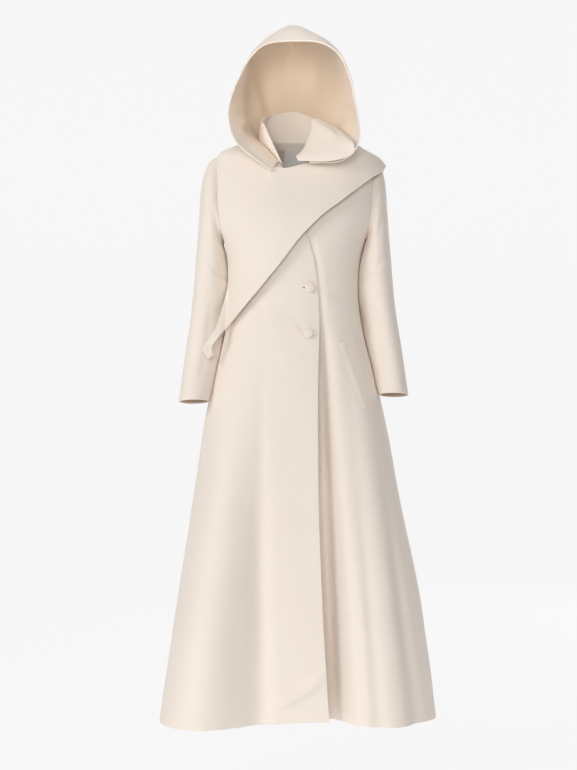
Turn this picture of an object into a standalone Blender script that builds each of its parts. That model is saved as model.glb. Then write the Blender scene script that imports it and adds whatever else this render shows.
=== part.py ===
"""A long hooded coat with a draped front panel, as sewn walls of cloth in its worn form.

The frame has +Z up and the front facing -Y, so +X is the wearer's left. The origin lies at the
base of the neck, level with the high points of the shoulder seams, where the wearer holds the
coat up. All sizes are in metres. Each piece is a grid of outer points worked out from a table
of sections, and the same grid moved in by the thickness of the cloth.
"""
import math

import bpy
import numpy as np

# cloth and seams
CLOTH = 0.0024
SEAM = 0.0003
HALF_SEAM = SEAM / 2

# heights of the coat
NECK_Z = -0.002
SHOULDER_Z = -0.045
UNDERARM_Z = -0.262
HIP_Z = -0.500
HEM_Z = -1.481
V_TIP_Z = -0.080
V_TIP_TURN = 10.0
SHOULDER_TURN = 90.0
BACK_TURN = 180.0

# how far the hem climbs at the lap, and over what width
HEM_RISE = 0.008
HEM_RISE_X = 0.060
HEM_RISE_SPAN = 0.200

# how the left front lies under the right one
LAP_DROP = 0.0052
LAP_FADE = 0.022

# the covered buttons, on the right front by its edge
BUTTON_RADIUS = 0.0125
BUTTON_HEIGHT = 0.0080
BUTTON_SIDES = 16
BUTTON_CLEAR = 0.0008

# how many walls each piece is cut into, across and down
FRONT_COLUMNS = 18
BACK_COLUMNS = 13
HOOD_COLUMNS = 17
HOOD_ROWS = 13
DRAPE_COLUMNS = 13
COLLAR_ROWS = 10


def table(columns, *rows):
    """Gives named columns of a table, its rows sorted by the first one, which read() looks up."""
    values = np.array(sorted(rows)).T
    named = dict(zip(columns.split(), values))
    named["key"] = values[0]
    return named


# the body's sections from the neck down: half ovals in front of and behind the side seams
BODY = table(
    "z       centre_x half_width front_y back_y side_y power",
    (0.000, 0.000, 0.0840, -0.062, 0.062, 0.002, 2.0),
    (-0.012, 0.000, 0.1120, -0.068, 0.070, 0.002, 2.0),
    (-0.026, 0.001, 0.1500, -0.077, 0.080, 0.002, 2.0),
    (-0.045, 0.002, 0.1980, -0.088, 0.092, 0.002, 2.0),
    (-0.070, 0.003, 0.2100, -0.100, 0.100, 0.002, 2.1),
    (-0.110, 0.004, 0.2150, -0.115, 0.107, 0.002, 2.3),
    (-0.160, 0.004, 0.2140, -0.128, 0.109, 0.001, 2.4),
    (-0.215, 0.004, 0.2030, -0.138, 0.107, 0.000, 2.4),
    (-0.262, 0.004, 0.1800, -0.138, 0.103, 0.000, 2.4),
    (-0.312, 0.003, 0.1680, -0.128, 0.094, 0.000, 2.3),
    (-0.384, 0.000, 0.1650, -0.114, 0.087, 0.000, 2.3),
    (-0.440, 0.000, 0.1690, -0.114, 0.095, 0.000, 2.3),
    (-0.500, 0.001, 0.1790, -0.118, 0.110, 0.002, 2.3),
    (-0.600, 0.003, 0.2050, -0.122, 0.132, 0.008, 2.3),
    (-0.717, 0.004, 0.2310, -0.124, 0.150, 0.016, 2.4),
    (-0.922, 0.008, 0.2660, -0.121, 0.178, 0.026, 2.5),
    (-1.178, 0.014, 0.3130, -0.112, 0.212, 0.038, 2.6),
    (-1.481, 0.014, 0.3540, -0.102, 0.245, 0.050, 2.6),
)

# how far the armhole's edge lies from the body's centre line
ARMHOLE = table(
    "z       reach",
    (-0.045, 0.1980),
    (-0.056, 0.1985),
    (-0.078, 0.1985),
    (-0.110, 0.1975),
    (-0.160, 0.1955),
    (-0.215, 0.1885),
    (-0.240, 0.1840),
    (-0.262, 0.1800),
)

# the neck seam's height by the turn round the neck, 0 at the centre front
NECKLINE = table(
    "turn  z",
    (-90.0, 0.001),
    (-75.0, -0.006),
    (-60.0, -0.015),
    (-45.0, -0.029),
    (-30.0, -0.053),
    (-16.0, V_TIP_Z),
    (10.0, V_TIP_Z - 0.001),
    (16.0, V_TIP_Z + 0.001),
    (30.0, -0.053),
    (45.0, -0.029),
    (60.0, -0.015),
    (75.0, -0.006),
    (90.0, 0.001),
)

# the closing edge of the right front, and the hidden edge of the left front under it
CLOSING = table(
    "z       right_x  left_x",
    (-0.080, -0.029, 0.020),
    (-0.100, -0.021, 0.002),
    (-0.150, -0.004, -0.020),
    (-0.240, 0.027, -0.030),
    (-0.312, 0.050, -0.032),
    (-0.384, 0.060, -0.032),
    (-0.660, 0.060, -0.030),
    (-0.922, 0.062, -0.026),
    (-1.178, 0.071, -0.018),
    (-1.481, 0.089, 0.000),
)

# folds that all the panels share: a cone that opens from its top down to the hem
FOLDS = (
    # half, x at the top, x at the hem, top z, half span at the hem, depth at the hem
    dict(half="front", top_x=-0.120, hem_x=-0.225, top_z=-0.480, span=0.150, depth=0.100),
    dict(half="front", top_x=0.150, hem_x=0.238, top_z=-0.430, span=0.120, depth=0.052),
    dict(half="front", top_x=-0.080, hem_x=-0.085, top_z=-0.400, span=0.050, depth=-0.009),
    dict(half="front", top_x=0.155, hem_x=0.205, top_z=-0.850, span=0.028, depth=-0.007),
    dict(half="front", top_x=0.200, hem_x=0.300, top_z=-0.700, span=0.040, depth=-0.012),
    dict(half="back", top_x=-0.060, hem_x=-0.210, top_z=-0.450, span=0.090, depth=0.040),
    dict(half="back", top_x=0.060, hem_x=0.225, top_z=-0.450, span=0.090, depth=0.040),
    dict(half="back", top_x=-0.020, hem_x=-0.085, top_z=-0.500, span=0.060, depth=-0.032),
    dict(half="back", top_x=0.030, hem_x=0.100, top_z=-0.480, span=0.060, depth=-0.030),
    dict(half="back", top_x=0.000, hem_x=0.010, top_z=-0.600, span=0.055, depth=0.018),
)

# the left front falls back beside the lap and rises to a long ridge
LEFT_FOLDS = (
    dict(half="front", top_x=0.060, hem_x=0.096, top_z=-0.300, span=0.066, depth=-0.046),
    dict(half="front", top_x=0.092, hem_x=0.170, top_z=-0.300, span=0.060, depth=0.016),
)

# the left sleeve's sections below its head, from the armhole to the cuff
SLEEVE = table(
    "row  outer_x outer_z inner_x inner_z front_y back_y tilt",
    (1.0, 0.2380, -0.150, 0.1900, -0.286, -0.074, 0.068, 0.000),
    (2.0, 0.2435, -0.235, 0.1880, -0.318, -0.077, 0.070, 0.000),
    (3.0, 0.2490, -0.305, 0.1820, -0.352, -0.074, 0.066, 0.002),
    (4.0, 0.2545, -0.375, 0.1795, -0.400, -0.070, 0.058, 0.004),
    (5.0, 0.2630, -0.450, 0.1840, -0.458, -0.068, 0.050, 0.005),
    (6.0, 0.2750, -0.528, 0.1965, -0.528, -0.070, 0.040, 0.006),
    (7.0, 0.2850, -0.600, 0.2130, -0.598, -0.076, 0.028, 0.006),
    (8.0, 0.2920, -0.6515, 0.2210, -0.6515, -0.082, 0.016, 0.006),
)
SLEEVE_HEAD_ROWS = 4
SLEEVE_RIGHT_LONGER = 0.017

# the hood's ribs: from the rim, by two handles, down to the seam round the neck
HOOD = table(
    "rib   rim_x   rim_y   rim_z   front_x front_y front_z back_x back_y back_z base_turn",
    (0.0, -0.054, -0.127, -0.0920, -0.002, 0.004, 0.003, -0.003, -0.008, 0.007, -22.0),
    (1.0, -0.097, -0.140, -0.0632, -0.004, 0.020, 0.004, -0.012, -0.022, 0.014, -38.0),
    (2.0, -0.1435, -0.139, -0.0222, -0.008, 0.040, 0.006, -0.034, -0.012, 0.034, -58.0),
    (3.0, -0.1630, -0.127, 0.0343, -0.016, 0.070, 0.010, -0.050, 0.030, 0.072, -80.0),
    (4.0, -0.1555, -0.118, 0.0854, -0.026, 0.090, 0.020, -0.066, 0.100, 0.110, -104.0),
    (5.0, -0.1267, -0.112, 0.1358, -0.032, 0.110, 0.040, -0.062, 0.150, 0.170, -124.0),
    (6.0, -0.0985, -0.108, 0.1867, -0.022, 0.125, 0.070, -0.045, 0.185, 0.240, -144.0),
    (7.0, -0.0630, -0.104, 0.2250, -0.006, 0.145, 0.100, -0.016, 0.205, 0.300, -164.0),
    (8.0, -0.0020, -0.100, 0.2365, 0.000, 0.160, 0.128, 0.000, 0.210, 0.330, -180.0),
    (9.0, 0.0660, -0.100, 0.2330, 0.004, 0.145, 0.100, 0.014, 0.205, 0.300, -196.0),
    (10.0, 0.1110, -0.103, 0.2010, 0.010, 0.125, 0.070, 0.040, 0.185, 0.240, -216.0),
    (11.0, 0.1376, -0.106, 0.1524, 0.012, 0.110, 0.040, 0.056, 0.150, 0.170, -236.0),
    (12.0, 0.1500, -0.112, 0.1030, 0.010, 0.090, 0.020, 0.060, 0.100, 0.110, -256.0),
    (13.0, 0.1610, -0.123, 0.0380, 0.010, 0.070, 0.010, 0.050, 0.030, 0.072, -280.0),
    (14.0, 0.1609, -0.140, -0.0273, 0.006, 0.040, 0.006, 0.034, -0.012, 0.034, -304.0),
    (15.0, 0.1200, -0.143, -0.0690, 0.004, 0.020, 0.004, 0.014, -0.024, 0.014, -324.0),
    (16.0, 0.0400, -0.138, -0.0740, 0.002, 0.006, 0.003, 0.004, -0.012, 0.008, -340.0),
)
HOOD_MIDDLE = 8.0
HOOD_END = 16.0
NECK_GAP = 0.0008
NECK_RISE = 0.0012
RIB_STEP = 0.05

# the collar's ribs: base on the neck seam, the roll it passes over, and its free edge
COLLAR = table(
    "rib   base_turn roll_x  roll_y  roll_z  edge_x  edge_y  edge_z",
    (0.0, -18.0, -0.0500, -0.108, -0.0280, -0.0744, -0.092, 0.0266),
    (1.0, -40.0, -0.0720, -0.082, -0.0080, -0.0800, -0.070, 0.0360),
    (2.0, -80.0, -0.0850, -0.030, 0.0230, -0.0785, -0.035, 0.0460),
    (3.0, -130.0, -0.0680, 0.042, 0.0350, -0.0600, 0.047, 0.0680),
    (4.0, -180.0, 0.0000, 0.070, 0.0430, 0.0000, 0.076, 0.0820),
    (5.0, -230.0, 0.0580, 0.044, 0.0340, 0.0510, 0.048, 0.0620),
    (6.0, -270.0, 0.0540, 0.005, 0.0460, 0.0800, 0.000, 0.0400),
    (7.0, -290.0, 0.0485, -0.030, 0.0480, 0.1160, -0.058, 0.0180),
    (8.0, -305.0, 0.0490, -0.060, 0.0220, 0.1190, -0.108, -0.0200),
    (9.0, -318.0, 0.0430, -0.088, -0.0060, 0.1210, -0.148, -0.0640),
    (10.0, -330.0, 0.0300, -0.106, -0.0300, 0.0850, -0.151, -0.0725),
    (11.0, -341.0, 0.0160, -0.121, -0.0560, 0.0300, -0.145, -0.0700),
)
COLLAR_RIBS = 34
COLLAR_END = 11.0

# the draped panel's ribs, from its end behind the left shoulder to the right hip: where each
# begins and ends, how far it stands off there, and how far it bows up between
DRAPE = table(
    "rib   top_turn top_z   low_x   low_z   low_turn  lift   low_lift bow",
    (0.0, 150.0, -0.030, 0.0, -0.125, 122.0, 0.006, 0.006, 0.000),
    (1.0, 120.0, -0.018, 0.0, -0.096, 106.0, 0.006, 0.006, 0.000),
    (2.0, 90.0, -0.012, 0.0, -0.069, 90.0, 0.006, 0.006, 0.000),
    (3.0, 62.0, -0.026, 0.198, -0.106, 0.0, 0.006, 0.010, 0.000),
    (4.0, 38.0, -0.060, 0.168, -0.129, 0.0, 0.006, 0.013, 0.000),
    (5.0, 14.0, -0.094, 0.136, -0.156, 0.0, 0.006, 0.014, 0.000),
    (6.0, -14.0, -0.100, 0.105, -0.180, 0.0, 0.006, 0.014, 0.000),
    (7.0, -38.0, -0.072, 0.068, -0.206, 0.0, 0.006, 0.014, 0.000),
    (8.0, -62.0, -0.036, 0.032, -0.241, 0.0, 0.006, 0.014, 0.006),
    (9.0, -82.0, -0.022, 0.000, -0.273, 0.0, 0.007, 0.014, 0.022),
    (10.0, -79.0, -0.052, -0.033, -0.319, 0.0, 0.007, 0.014, 0.040),
    (11.0, -71.0, -0.120, -0.066, -0.356, 0.0, 0.005, 0.015, 0.044),
    (12.0, -69.0, -0.205, -0.090, -0.391, 0.0, 0.004, 0.016, 0.032),
    (13.0, -79.0, -0.275, -0.120, -0.425, 0.0, 0.004, 0.017, 0.018),
    (14.0, -84.0, -0.330, -0.150, -0.461, 0.0, 0.004, 0.018, 0.006),
    (15.0, -84.0, -0.385, -0.171, -0.488, 0.0, 0.004, 0.018, 0.000),
)
DRAPE_LAST = 15.0
DRAPE_RIBS = 37
DRAPE_CORNER = 2.0
DRAPE_LEAST_LIFT = 0.003

# how much wider than the body the panel lies over the left shoulder
DRAPE_SPREAD = table(
    "z       wider",
    (0.000, 0.016),
    (-0.012, 0.026),
    (-0.020, 0.028),
    (-0.030, 0.016),
    (-0.045, 0.006),
    (-0.056, 0.010),
    (-0.069, 0.016),
    (-0.110, 0.024),
    (-0.160, 0.022),
    (-0.220, 0.010),
    (-0.300, 0.000),
)

# the panel's free tail by the right hip: its two edges as it narrows, leaves the body and curls
TAIL = table(
    "row  left_x  left_y  left_z  right_x right_y right_z",
    (0.0, -0.1720, -0.028, -0.404, -0.1730, -0.080, -0.489),
    (1.0, -0.1790, -0.050, -0.428, -0.1780, -0.087, -0.4935),
    (2.0, -0.1870, -0.070, -0.455, -0.1830, -0.091, -0.4985),
    (3.0, -0.1960, -0.083, -0.483, -0.1890, -0.094, -0.5055),
    (4.0, -0.2080, -0.091, -0.505, -0.1950, -0.096, -0.5130),
    (5.0, -0.2200, -0.092, -0.523, -0.2010, -0.094, -0.5225),
    (6.0, -0.2270, -0.090, -0.534, -0.2050, -0.089, -0.5300),
    (7.0, -0.2250, -0.087, -0.547, -0.2060, -0.085, -0.5420),
    (8.0, -0.2140, -0.084, -0.561, -0.2030, -0.082, -0.5510),
)
TAIL_ROWS = 13
TAIL_BLEND = 4

# the pocket's welt, a slanted strip on the left front
POCKET_TOP = (0.120, -0.522)
POCKET_BOTTOM = (0.179, -0.684)
POCKET_WIDTH = 0.013
POCKET_THICK = 0.0020
POCKET_CLEAR = 0.0010

# inside the back of the neck
FACING_TURN = 122.0
FACING_TOP_Z = -0.008
FACING_DEPTH = 0.014
LABEL_HALF_TURN = 18.0
LABEL_TOP_Z = -0.016
LABEL_DEPTH = 0.042
TRIM_THICK = 0.0010
FACING_CLEAR = 0.0005
LABEL_CLEAR = 0.0008

# each button's name, and where it sits on the front: x and z
BUTTON_PLACES = (("button_upper", 0.0405, -0.383), ("button_lower", 0.0375, -0.497))

CREAM = (0.86, 0.78, 0.70)
LINING_CREAM = (0.80, 0.71, 0.62)
LABEL_GREY = (0.62, 0.60, 0.60)


def clear_scene():
    """Takes away whatever the scene holds."""
    for old in list(bpy.data.objects):
        bpy.data.objects.remove(old, do_unlink=True)


def ease(t):
    """Rises from 0 to 1 with a level start and end."""
    t = np.clip(t, 0.0, 1.0)
    return t * t * (3.0 - 2.0 * t)


def bell(t):
    """A cosine hump, 1 at the middle and 0 from one span away."""
    return 0.5 + 0.5 * np.cos(math.pi * np.clip(np.abs(t), 0.0, 1.0))


def read(rows, column, at):
    """Reads a table's column on a smooth curve through its rows, Hermite pieces between them."""
    keys = rows["key"]
    values = rows[column]
    slopes = np.gradient(values, keys)
    at = np.clip(np.asarray(at, dtype=float), keys[0], keys[-1])
    low = np.clip(np.searchsorted(keys, at, side="right") - 1, 0, len(keys) - 2)
    width = keys[low + 1] - keys[low]
    t = (at - keys[low]) / width
    start = (1 + 2 * t) * (1 - t) ** 2
    end = t * t * (3 - 2 * t)
    leave = t * (1 - t) ** 2 * width
    arrive = -t * t * (1 - t) * width
    level = start * values[low] + end * values[low + 1]
    return level + leave * slopes[low] + arrive * slopes[low + 1]


def fold_push(folds, front, x, z):
    """Adds up how far the folds push the cloth out at a place, front being 1 before the side."""
    push = np.zeros_like(x)
    for fold in folds:
        fallen = np.clip((fold["top_z"] - z) / (fold["top_z"] - HEM_Z), 0.0, 1.0)
        middle = fold["top_x"] + (fold["hem_x"] - fold["top_x"]) * fallen
        span = fold["span"] * (0.35 + 0.65 * fallen)
        on_half = front if fold["half"] == "front" else 1.0 - front
        push += on_half * fold["depth"] * ease(fallen) * bell((x - middle) / span)
    return push


def section_point(turn, z, wider=0.0, folds=FOLDS, drop=None):
    """A point of the body's section at height z, at a turn from the centre front.

    The section is a superellipse in polar form, r = (|sin/a|^n + |cos/b|^n)^(-1/n), with one b
    before the side seams and another behind them. Folds and drop move it along its outward
    direction, level with the ground.
    """
    angle = np.radians(turn)
    centre_x = read(BODY, "centre_x", z)
    side_y = read(BODY, "side_y", z)
    power = read(BODY, "power", z)
    half_width = read(BODY, "half_width", z) + wider
    ahead = np.cos(angle) >= 0.0
    depth = np.where(ahead, side_y - read(BODY, "front_y", z), read(BODY, "back_y", z) - side_y)
    across = np.abs(np.sin(angle)) / half_width
    along = np.abs(np.cos(angle)) / depth
    radius = (across ** power + along ** power) ** (-1.0 / power)
    x = centre_x + radius * np.sin(angle)
    y = side_y - radius * np.cos(angle)
    out_x = np.sign(np.sin(angle)) * across ** (power - 1.0) / half_width
    out_y = -np.sign(np.cos(angle)) * along ** (power - 1.0) / depth
    size = np.sqrt(out_x ** 2 + out_y ** 2)
    front = ease((np.cos(angle) + 0.02) / 0.30)
    push = fold_push(folds, front, x, z)
    back = ease((-np.cos(angle) + 0.02) / 0.30)
    push = np.where(ahead, push * front, fold_push(folds, 0.0 * x, x, z) * back)
    if drop is not None:
        push = push - drop(x, z)
    fallen = np.clip((z - HIP_Z) / (HEM_Z - HIP_Z), 0.0, 1.0)
    rise = HEM_RISE * fallen ** 2 * bell((x - HEM_RISE_X) / HEM_RISE_SPAN) * front
    return np.stack([x + push * out_x / size, y + push * out_y / size, z + rise], axis=-1)


def body_surface(turn, z):
    """The outer face of the right front and the back."""
    return section_point(turn, z)


def lap_drop(x, z):
    """How far the left front lies in where the right front covers it."""
    edge = read(CLOSING, "right_x", z)
    return LAP_DROP * ease((edge + LAP_FADE - x) / LAP_FADE)


def left_surface(turn, z):
    """The outer face of the left front."""
    return section_point(turn, z, folds=FOLDS + LEFT_FOLDS, drop=lap_drop)


def outward(surface, turn, z, step_turn=0.25, step_z=0.0006):
    """The unit normals of a surface of two parameters, from the steps beside each point."""
    by_turn = surface(turn + step_turn, z) - surface(turn - step_turn, z)
    by_z = surface(turn, z + step_z) - surface(turn, z - step_z)
    normal = np.cross(by_turn, by_z)
    return normal / np.linalg.norm(normal, axis=-1, keepdims=True)


def lifted(surface, lift):
    """A surface that lies a given distance outside another one."""
    def above(turn, z):
        return surface(turn, z) + outward(surface, turn, z) * np.asarray(lift)[..., None]
    return above


def turn_at(surface, x, z, low, high):
    """The turn between two others at which a surface has a given x, by looking along a fine row."""
    turns = np.linspace(low, high, 121)
    found = []
    for one_x, one_z in zip(np.ravel(x), np.ravel(z)):
        across = surface(turns, np.full_like(turns, one_z))[:, 0]
        order = np.argsort(across)
        found.append(np.interp(one_x, across[order], turns[order]))
    return np.array(found).reshape(np.shape(x))


def even_turns(surface, start, end, z, count):
    """Turns from start to end on each row, evenly spaced along the cloth."""
    share = np.linspace(0.0, 1.0, 101)
    rows = []
    for one_start, one_end, one_z in zip(start, end, z):
        turns = one_start + (one_end - one_start) * share
        points = surface(turns, np.full_like(turns, one_z))
        steps = np.linalg.norm(np.diff(points, axis=0), axis=1)
        length = np.concatenate([[0.0], np.cumsum(steps)])
        rows.append(np.interp(np.linspace(0.0, length[-1], count), length, turns))
    return np.array(rows)


def body_rows():
    """The heights of the body's rows, closest over the shoulder and round the armhole."""
    shoulder = np.array([NECK_Z, -0.008, -0.016, -0.026, -0.036])
    armhole = armhole_rows()
    waist = np.linspace(UNDERARM_Z, HIP_Z, 8)[1:]
    skirt = np.linspace(HIP_Z, HEM_Z, 13)[1:]
    return np.concatenate([shoulder, armhole, waist, skirt])


def armhole_rows():
    """The heights of the rows that end on the armhole, from the shoulder to the underarm."""
    return np.array([SHOULDER_Z, -0.056, -0.078, -0.108, -0.142, -0.178, -0.212, -0.240, UNDERARM_Z])


def armhole_turns(side, half):
    """The turns at which the rows of the armhole end, on one side, before or behind the seam."""
    turns = []
    for z in armhole_rows():
        reach = float(read(ARMHOLE, "reach", z))
        if z in (SHOULDER_Z, UNDERARM_Z):
            turns.append(side * SHOULDER_TURN)
            continue
        x = float(read(BODY, "centre_x", z)) + side * reach
        limits = (side * 5.0, side * 89.9) if half == "front" else (side * 90.1, side * 175.0)
        turns.append(float(turn_at(body_surface, np.array([x]), np.array([z]), *limits)[0]))
    return np.array(turns)


def side_turns(side, half):
    """Each row's outer end: the shoulder seam, then the armhole, then the side seam."""
    rows = body_rows()
    turns = np.full(len(rows), side * SHOULDER_TURN)
    first = int(np.argmin(np.abs(rows - SHOULDER_Z)))
    arm = armhole_turns(side, half)
    turns[first:first + len(arm)] = arm
    return turns


def grid_faces(rows, columns, closed):
    """Triangles of a wall: the outer grid, the inner grid turned round, and the rims between."""
    outer = np.arange(rows * columns).reshape(rows, columns)
    if closed:
        outer = np.concatenate([outer, outer[:, :1]], axis=1)
    inner = outer + rows * columns
    a, b = outer[:-1, :-1].ravel(), outer[:-1, 1:].ravel()
    d, c = outer[1:, :-1].ravel(), outer[1:, 1:].ravel()
    shift = rows * columns
    faces = [np.stack([a, b, c], 1), np.stack([a, c, d], 1)]
    faces += [np.stack([a, c, b], 1) + shift, np.stack([a, d, c], 1) + shift]

    def rim(first, second, first_in, second_in):
        return [np.stack([first, second, second_in], 1), np.stack([first, second_in, first_in], 1)]

    faces += rim(outer[0, 1:], outer[0, :-1], inner[0, 1:], inner[0, :-1])
    faces += rim(outer[-1, :-1], outer[-1, 1:], inner[-1, :-1], inner[-1, 1:])
    if not closed:
        faces += rim(outer[:-1, 0], outer[1:, 0], inner[:-1, 0], inner[1:, 0])
        faces += rim(outer[1:, -1], outer[:-1, -1], inner[1:, -1], inner[:-1, -1])
    return np.concatenate(faces)


def finish_mesh(name, points, faces, material):
    """Makes an object from points and triangles that face out of the solid."""
    corners = points[faces]
    volume = np.einsum("ij,ij->", corners[:, 0], np.cross(corners[:, 1], corners[:, 2]))
    if volume < 0.0:
        faces = faces[:, ::-1]
    mesh = bpy.data.meshes.new(name)
    mesh.from_pydata([tuple(p) for p in points.tolist()], [], faces.tolist())
    mesh.validate()
    mesh.shade_smooth()
    mesh.set_sharp_from_angle(angle=math.radians(50.0))
    mesh.materials.append(material)
    piece = bpy.data.objects.new(name, mesh)
    bpy.context.scene.collection.objects.link(piece)
    return piece


def wall(name, outer, normals, material, closed=False, thickness=CLOTH):
    """Builds one piece of cloth: a grid of outer points and the same grid moved in."""
    rows, columns = outer.shape[:2]
    inner = outer - normals * thickness
    points = np.concatenate([outer.reshape(-1, 3), inner.reshape(-1, 3)])
    return finish_mesh(name, points, grid_faces(rows, columns, closed), material)


def grid_normals(points, closed=False):
    """Unit normals of a grid of points, from the steps to the neighbours on both sides."""
    if closed:
        by_column = np.roll(points, -1, axis=1) - np.roll(points, 1, axis=1)
    else:
        by_column = np.gradient(points, axis=1)
    by_row = np.gradient(points, axis=0)
    normal = np.cross(by_column, by_row)
    size = np.linalg.norm(normal, axis=-1, keepdims=True)
    return normal / np.maximum(size, 1e-9)


def cloth_material(name, colour, roughness):
    """A plain woven cloth."""
    material = bpy.data.materials.new(name)
    material.use_nodes = True
    shader = material.node_tree.nodes["Principled BSDF"]
    shader.inputs["Base Color"].default_value = (*colour, 1.0)
    shader.inputs["Roughness"].default_value = roughness
    shader.inputs["Metallic"].default_value = 0.0
    return material


def inset(surface, start, end, z):
    """Draws both ends of each row in by half a seam, as turns."""
    first = surface(start, z)
    last = surface(end, z)
    step = 0.5 * np.sign(end - start)
    pace_first = np.linalg.norm(surface(start + step, z) - first, axis=1)
    pace_last = np.linalg.norm(surface(end - step, z) - last, axis=1)
    return start + step * HALF_SEAM / pace_first, end - step * HALF_SEAM / pace_last


def panel(name, surface, start, end, z, columns, material):
    """A body panel between two turns on each row."""
    start, end = inset(surface, start, end, z)
    turns = even_turns(surface, start, end, z, columns)
    heights = np.repeat(z[:, None], columns, axis=1)
    points = surface(turns, heights)
    normals = outward(surface, turns, heights)
    return wall(name, points, normals, material)


def front_inner_turns(side, surface):
    """The inner end of each row of a front: the neck seam, and below it the closing edge."""
    column = "right_x" if side < 0 else "left_x"
    half = side * np.linspace(90.0, 16.0, 75)
    heights = read(NECKLINE, "z", half)
    turns = []
    for z in body_rows():
        if z > V_TIP_Z + 0.001:
            turns.append(float(np.interp(-z, -heights, half)))
            continue
        x = float(read(CLOSING, column, z))
        turns.append(float(turn_at(surface, np.array([x]), np.array([z]), -60.0, 60.0)[0]))
    return np.array(turns)


def build_body(cloth):
    """The two fronts and the two halves of the back."""
    rows = body_rows()
    right_inner = front_inner_turns(-1, body_surface)
    left_inner = front_inner_turns(1, left_surface)
    panel("front_right", body_surface, side_turns(-1, "front"), right_inner, rows,
          FRONT_COLUMNS, cloth)
    panel("front_left", left_surface, left_inner, side_turns(1, "front"), rows,
          FRONT_COLUMNS, cloth)
    for name, side in (("back_right", -1), ("back_left", 1)):
        middle = np.full(len(rows), side * BACK_TURN)
        panel(name, body_surface, side_turns(side, "back"), middle, rows, BACK_COLUMNS, cloth)


def armhole_ring(side):
    """The armhole's edge as a ring: down its front from the shoulder, and up its back."""
    z = armhole_rows()
    front = body_surface(armhole_turns(side, "front"), z)
    back = body_surface(armhole_turns(side, "back"), z)
    return np.concatenate([front, back[-2:0:-1]])


def sleeve_ring(side, row, count):
    """One section of a sleeve: an oval that leans from its outer to its inner edge."""
    outer_x, inner_x = read(SLEEVE, "outer_x", row), read(SLEEVE, "inner_x", row)
    outer_z, inner_z = read(SLEEVE, "outer_z", row), read(SLEEVE, "inner_z", row)
    front_y, back_y = read(SLEEVE, "front_y", row), read(SLEEVE, "back_y", row)
    angle = np.linspace(0.0, 2 * math.pi, count, endpoint=False)
    swing = 0.5 + 0.5 * np.cos(angle)
    x = inner_x + (outer_x - inner_x) * swing
    y = 0.5 * (front_y + back_y) - 0.5 * (back_y - front_y) * np.sin(angle)
    z = inner_z + (outer_z - inner_z) * swing + read(SLEEVE, "tilt", row) * np.sin(angle)
    if side < 0:
        z = z - SLEEVE_RIGHT_LONGER * ease((-0.30 - z) / 0.34)
    return np.stack([side * x, y, z], axis=-1)


def build_sleeve(name, side, cloth):
    """A sleeve: its head rolls out of the armhole and the arm hangs from it in open sections."""
    start = armhole_ring(side)
    start[:, 0] += side * SEAM
    count = len(start)
    first = sleeve_ring(side, 1.0, count)
    angle = np.linspace(0.0, 2 * math.pi, count, endpoint=False)
    swing = 0.5 + 0.5 * np.cos(angle)
    leave = np.stack([side * (0.006 + 0.020 * swing), -0.010 * np.sin(angle),
                      -0.010 + 0.006 * swing], axis=-1)
    arrive = np.stack([side * (-0.003 * swing), 0.0 * swing, 0.010 + 0.040 * swing], axis=-1)
    rings = []
    for t in np.linspace(0.0, 1.0, SLEEVE_HEAD_ROWS + 1)[:-1]:
        rings.append((1 - t) ** 3 * start + 3 * t * (1 - t) ** 2 * (start + leave)
                     + 3 * t * t * (1 - t) * (first + arrive) + t ** 3 * first)
    for row in np.linspace(1.0, 8.0, 13):
        rings.append(sleeve_ring(side, row, count))
    points = np.array(rings)
    normals = grid_normals(points, closed=True)
    middle = points.mean(axis=1, keepdims=True)
    if np.einsum("ijk,ijk->", normals, points - middle) < 0.0:
        normals = -normals
    normals[0, :, 0] = 0.0
    normals[0] /= np.linalg.norm(normals[0], axis=-1, keepdims=True)
    return wall(name, points, normals, cloth, closed=True)


def neck_outline():
    """The neck's edge as the body's walls have it: its turns from back to back, and its heights."""
    rows = body_rows()
    inner = front_inner_turns(1, body_surface)
    on_neck = rows > V_TIP_Z + 0.001
    top = np.array([NECK_Z])
    back = even_turns(body_surface, np.array([SHOULDER_TURN]), np.array([BACK_TURN]), top,
                      BACK_COLUMNS)[0]
    turns = np.concatenate([[V_TIP_TURN], inner[on_neck][::-1], back])
    heights = np.concatenate([[V_TIP_Z], rows[on_neck][::-1], np.full(BACK_COLUMNS, NECK_Z)])
    return np.concatenate([-turns[::-1], turns]), np.concatenate([heights[::-1], heights])


def neck_edge(turn, layer):
    """The middle of a cloth sewn on at the neck's edge, layer 0 next to the body, 1 inside it.

    It stands clear of the body's edge in the direction that leaves the body's wall there.
    """
    turn = np.asarray(turn, dtype=float)
    wrapped = np.where(turn < -180.0, turn + 360.0, turn)
    edge_turns, edge_z = neck_outline()
    edge = body_surface(edge_turns, edge_z)

    def on_edge(at):
        return np.stack([np.interp(at, edge_turns, edge[:, k]) for k in range(3)], axis=-1)

    normal = outward(body_surface, wrapped, np.interp(wrapped, edge_turns, edge_z))
    leave = np.cross(on_edge(wrapped + 1.0) - on_edge(wrapped - 1.0), normal)
    leave /= np.linalg.norm(leave, axis=-1, keepdims=True)
    leave *= np.sign(leave[..., 2:3])
    away = CLOTH / 2 + NECK_GAP + layer * (CLOTH + NECK_GAP)
    rise = NECK_RISE - layer * CLOTH
    return on_edge(wrapped) + normal * rise + leave * away


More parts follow.
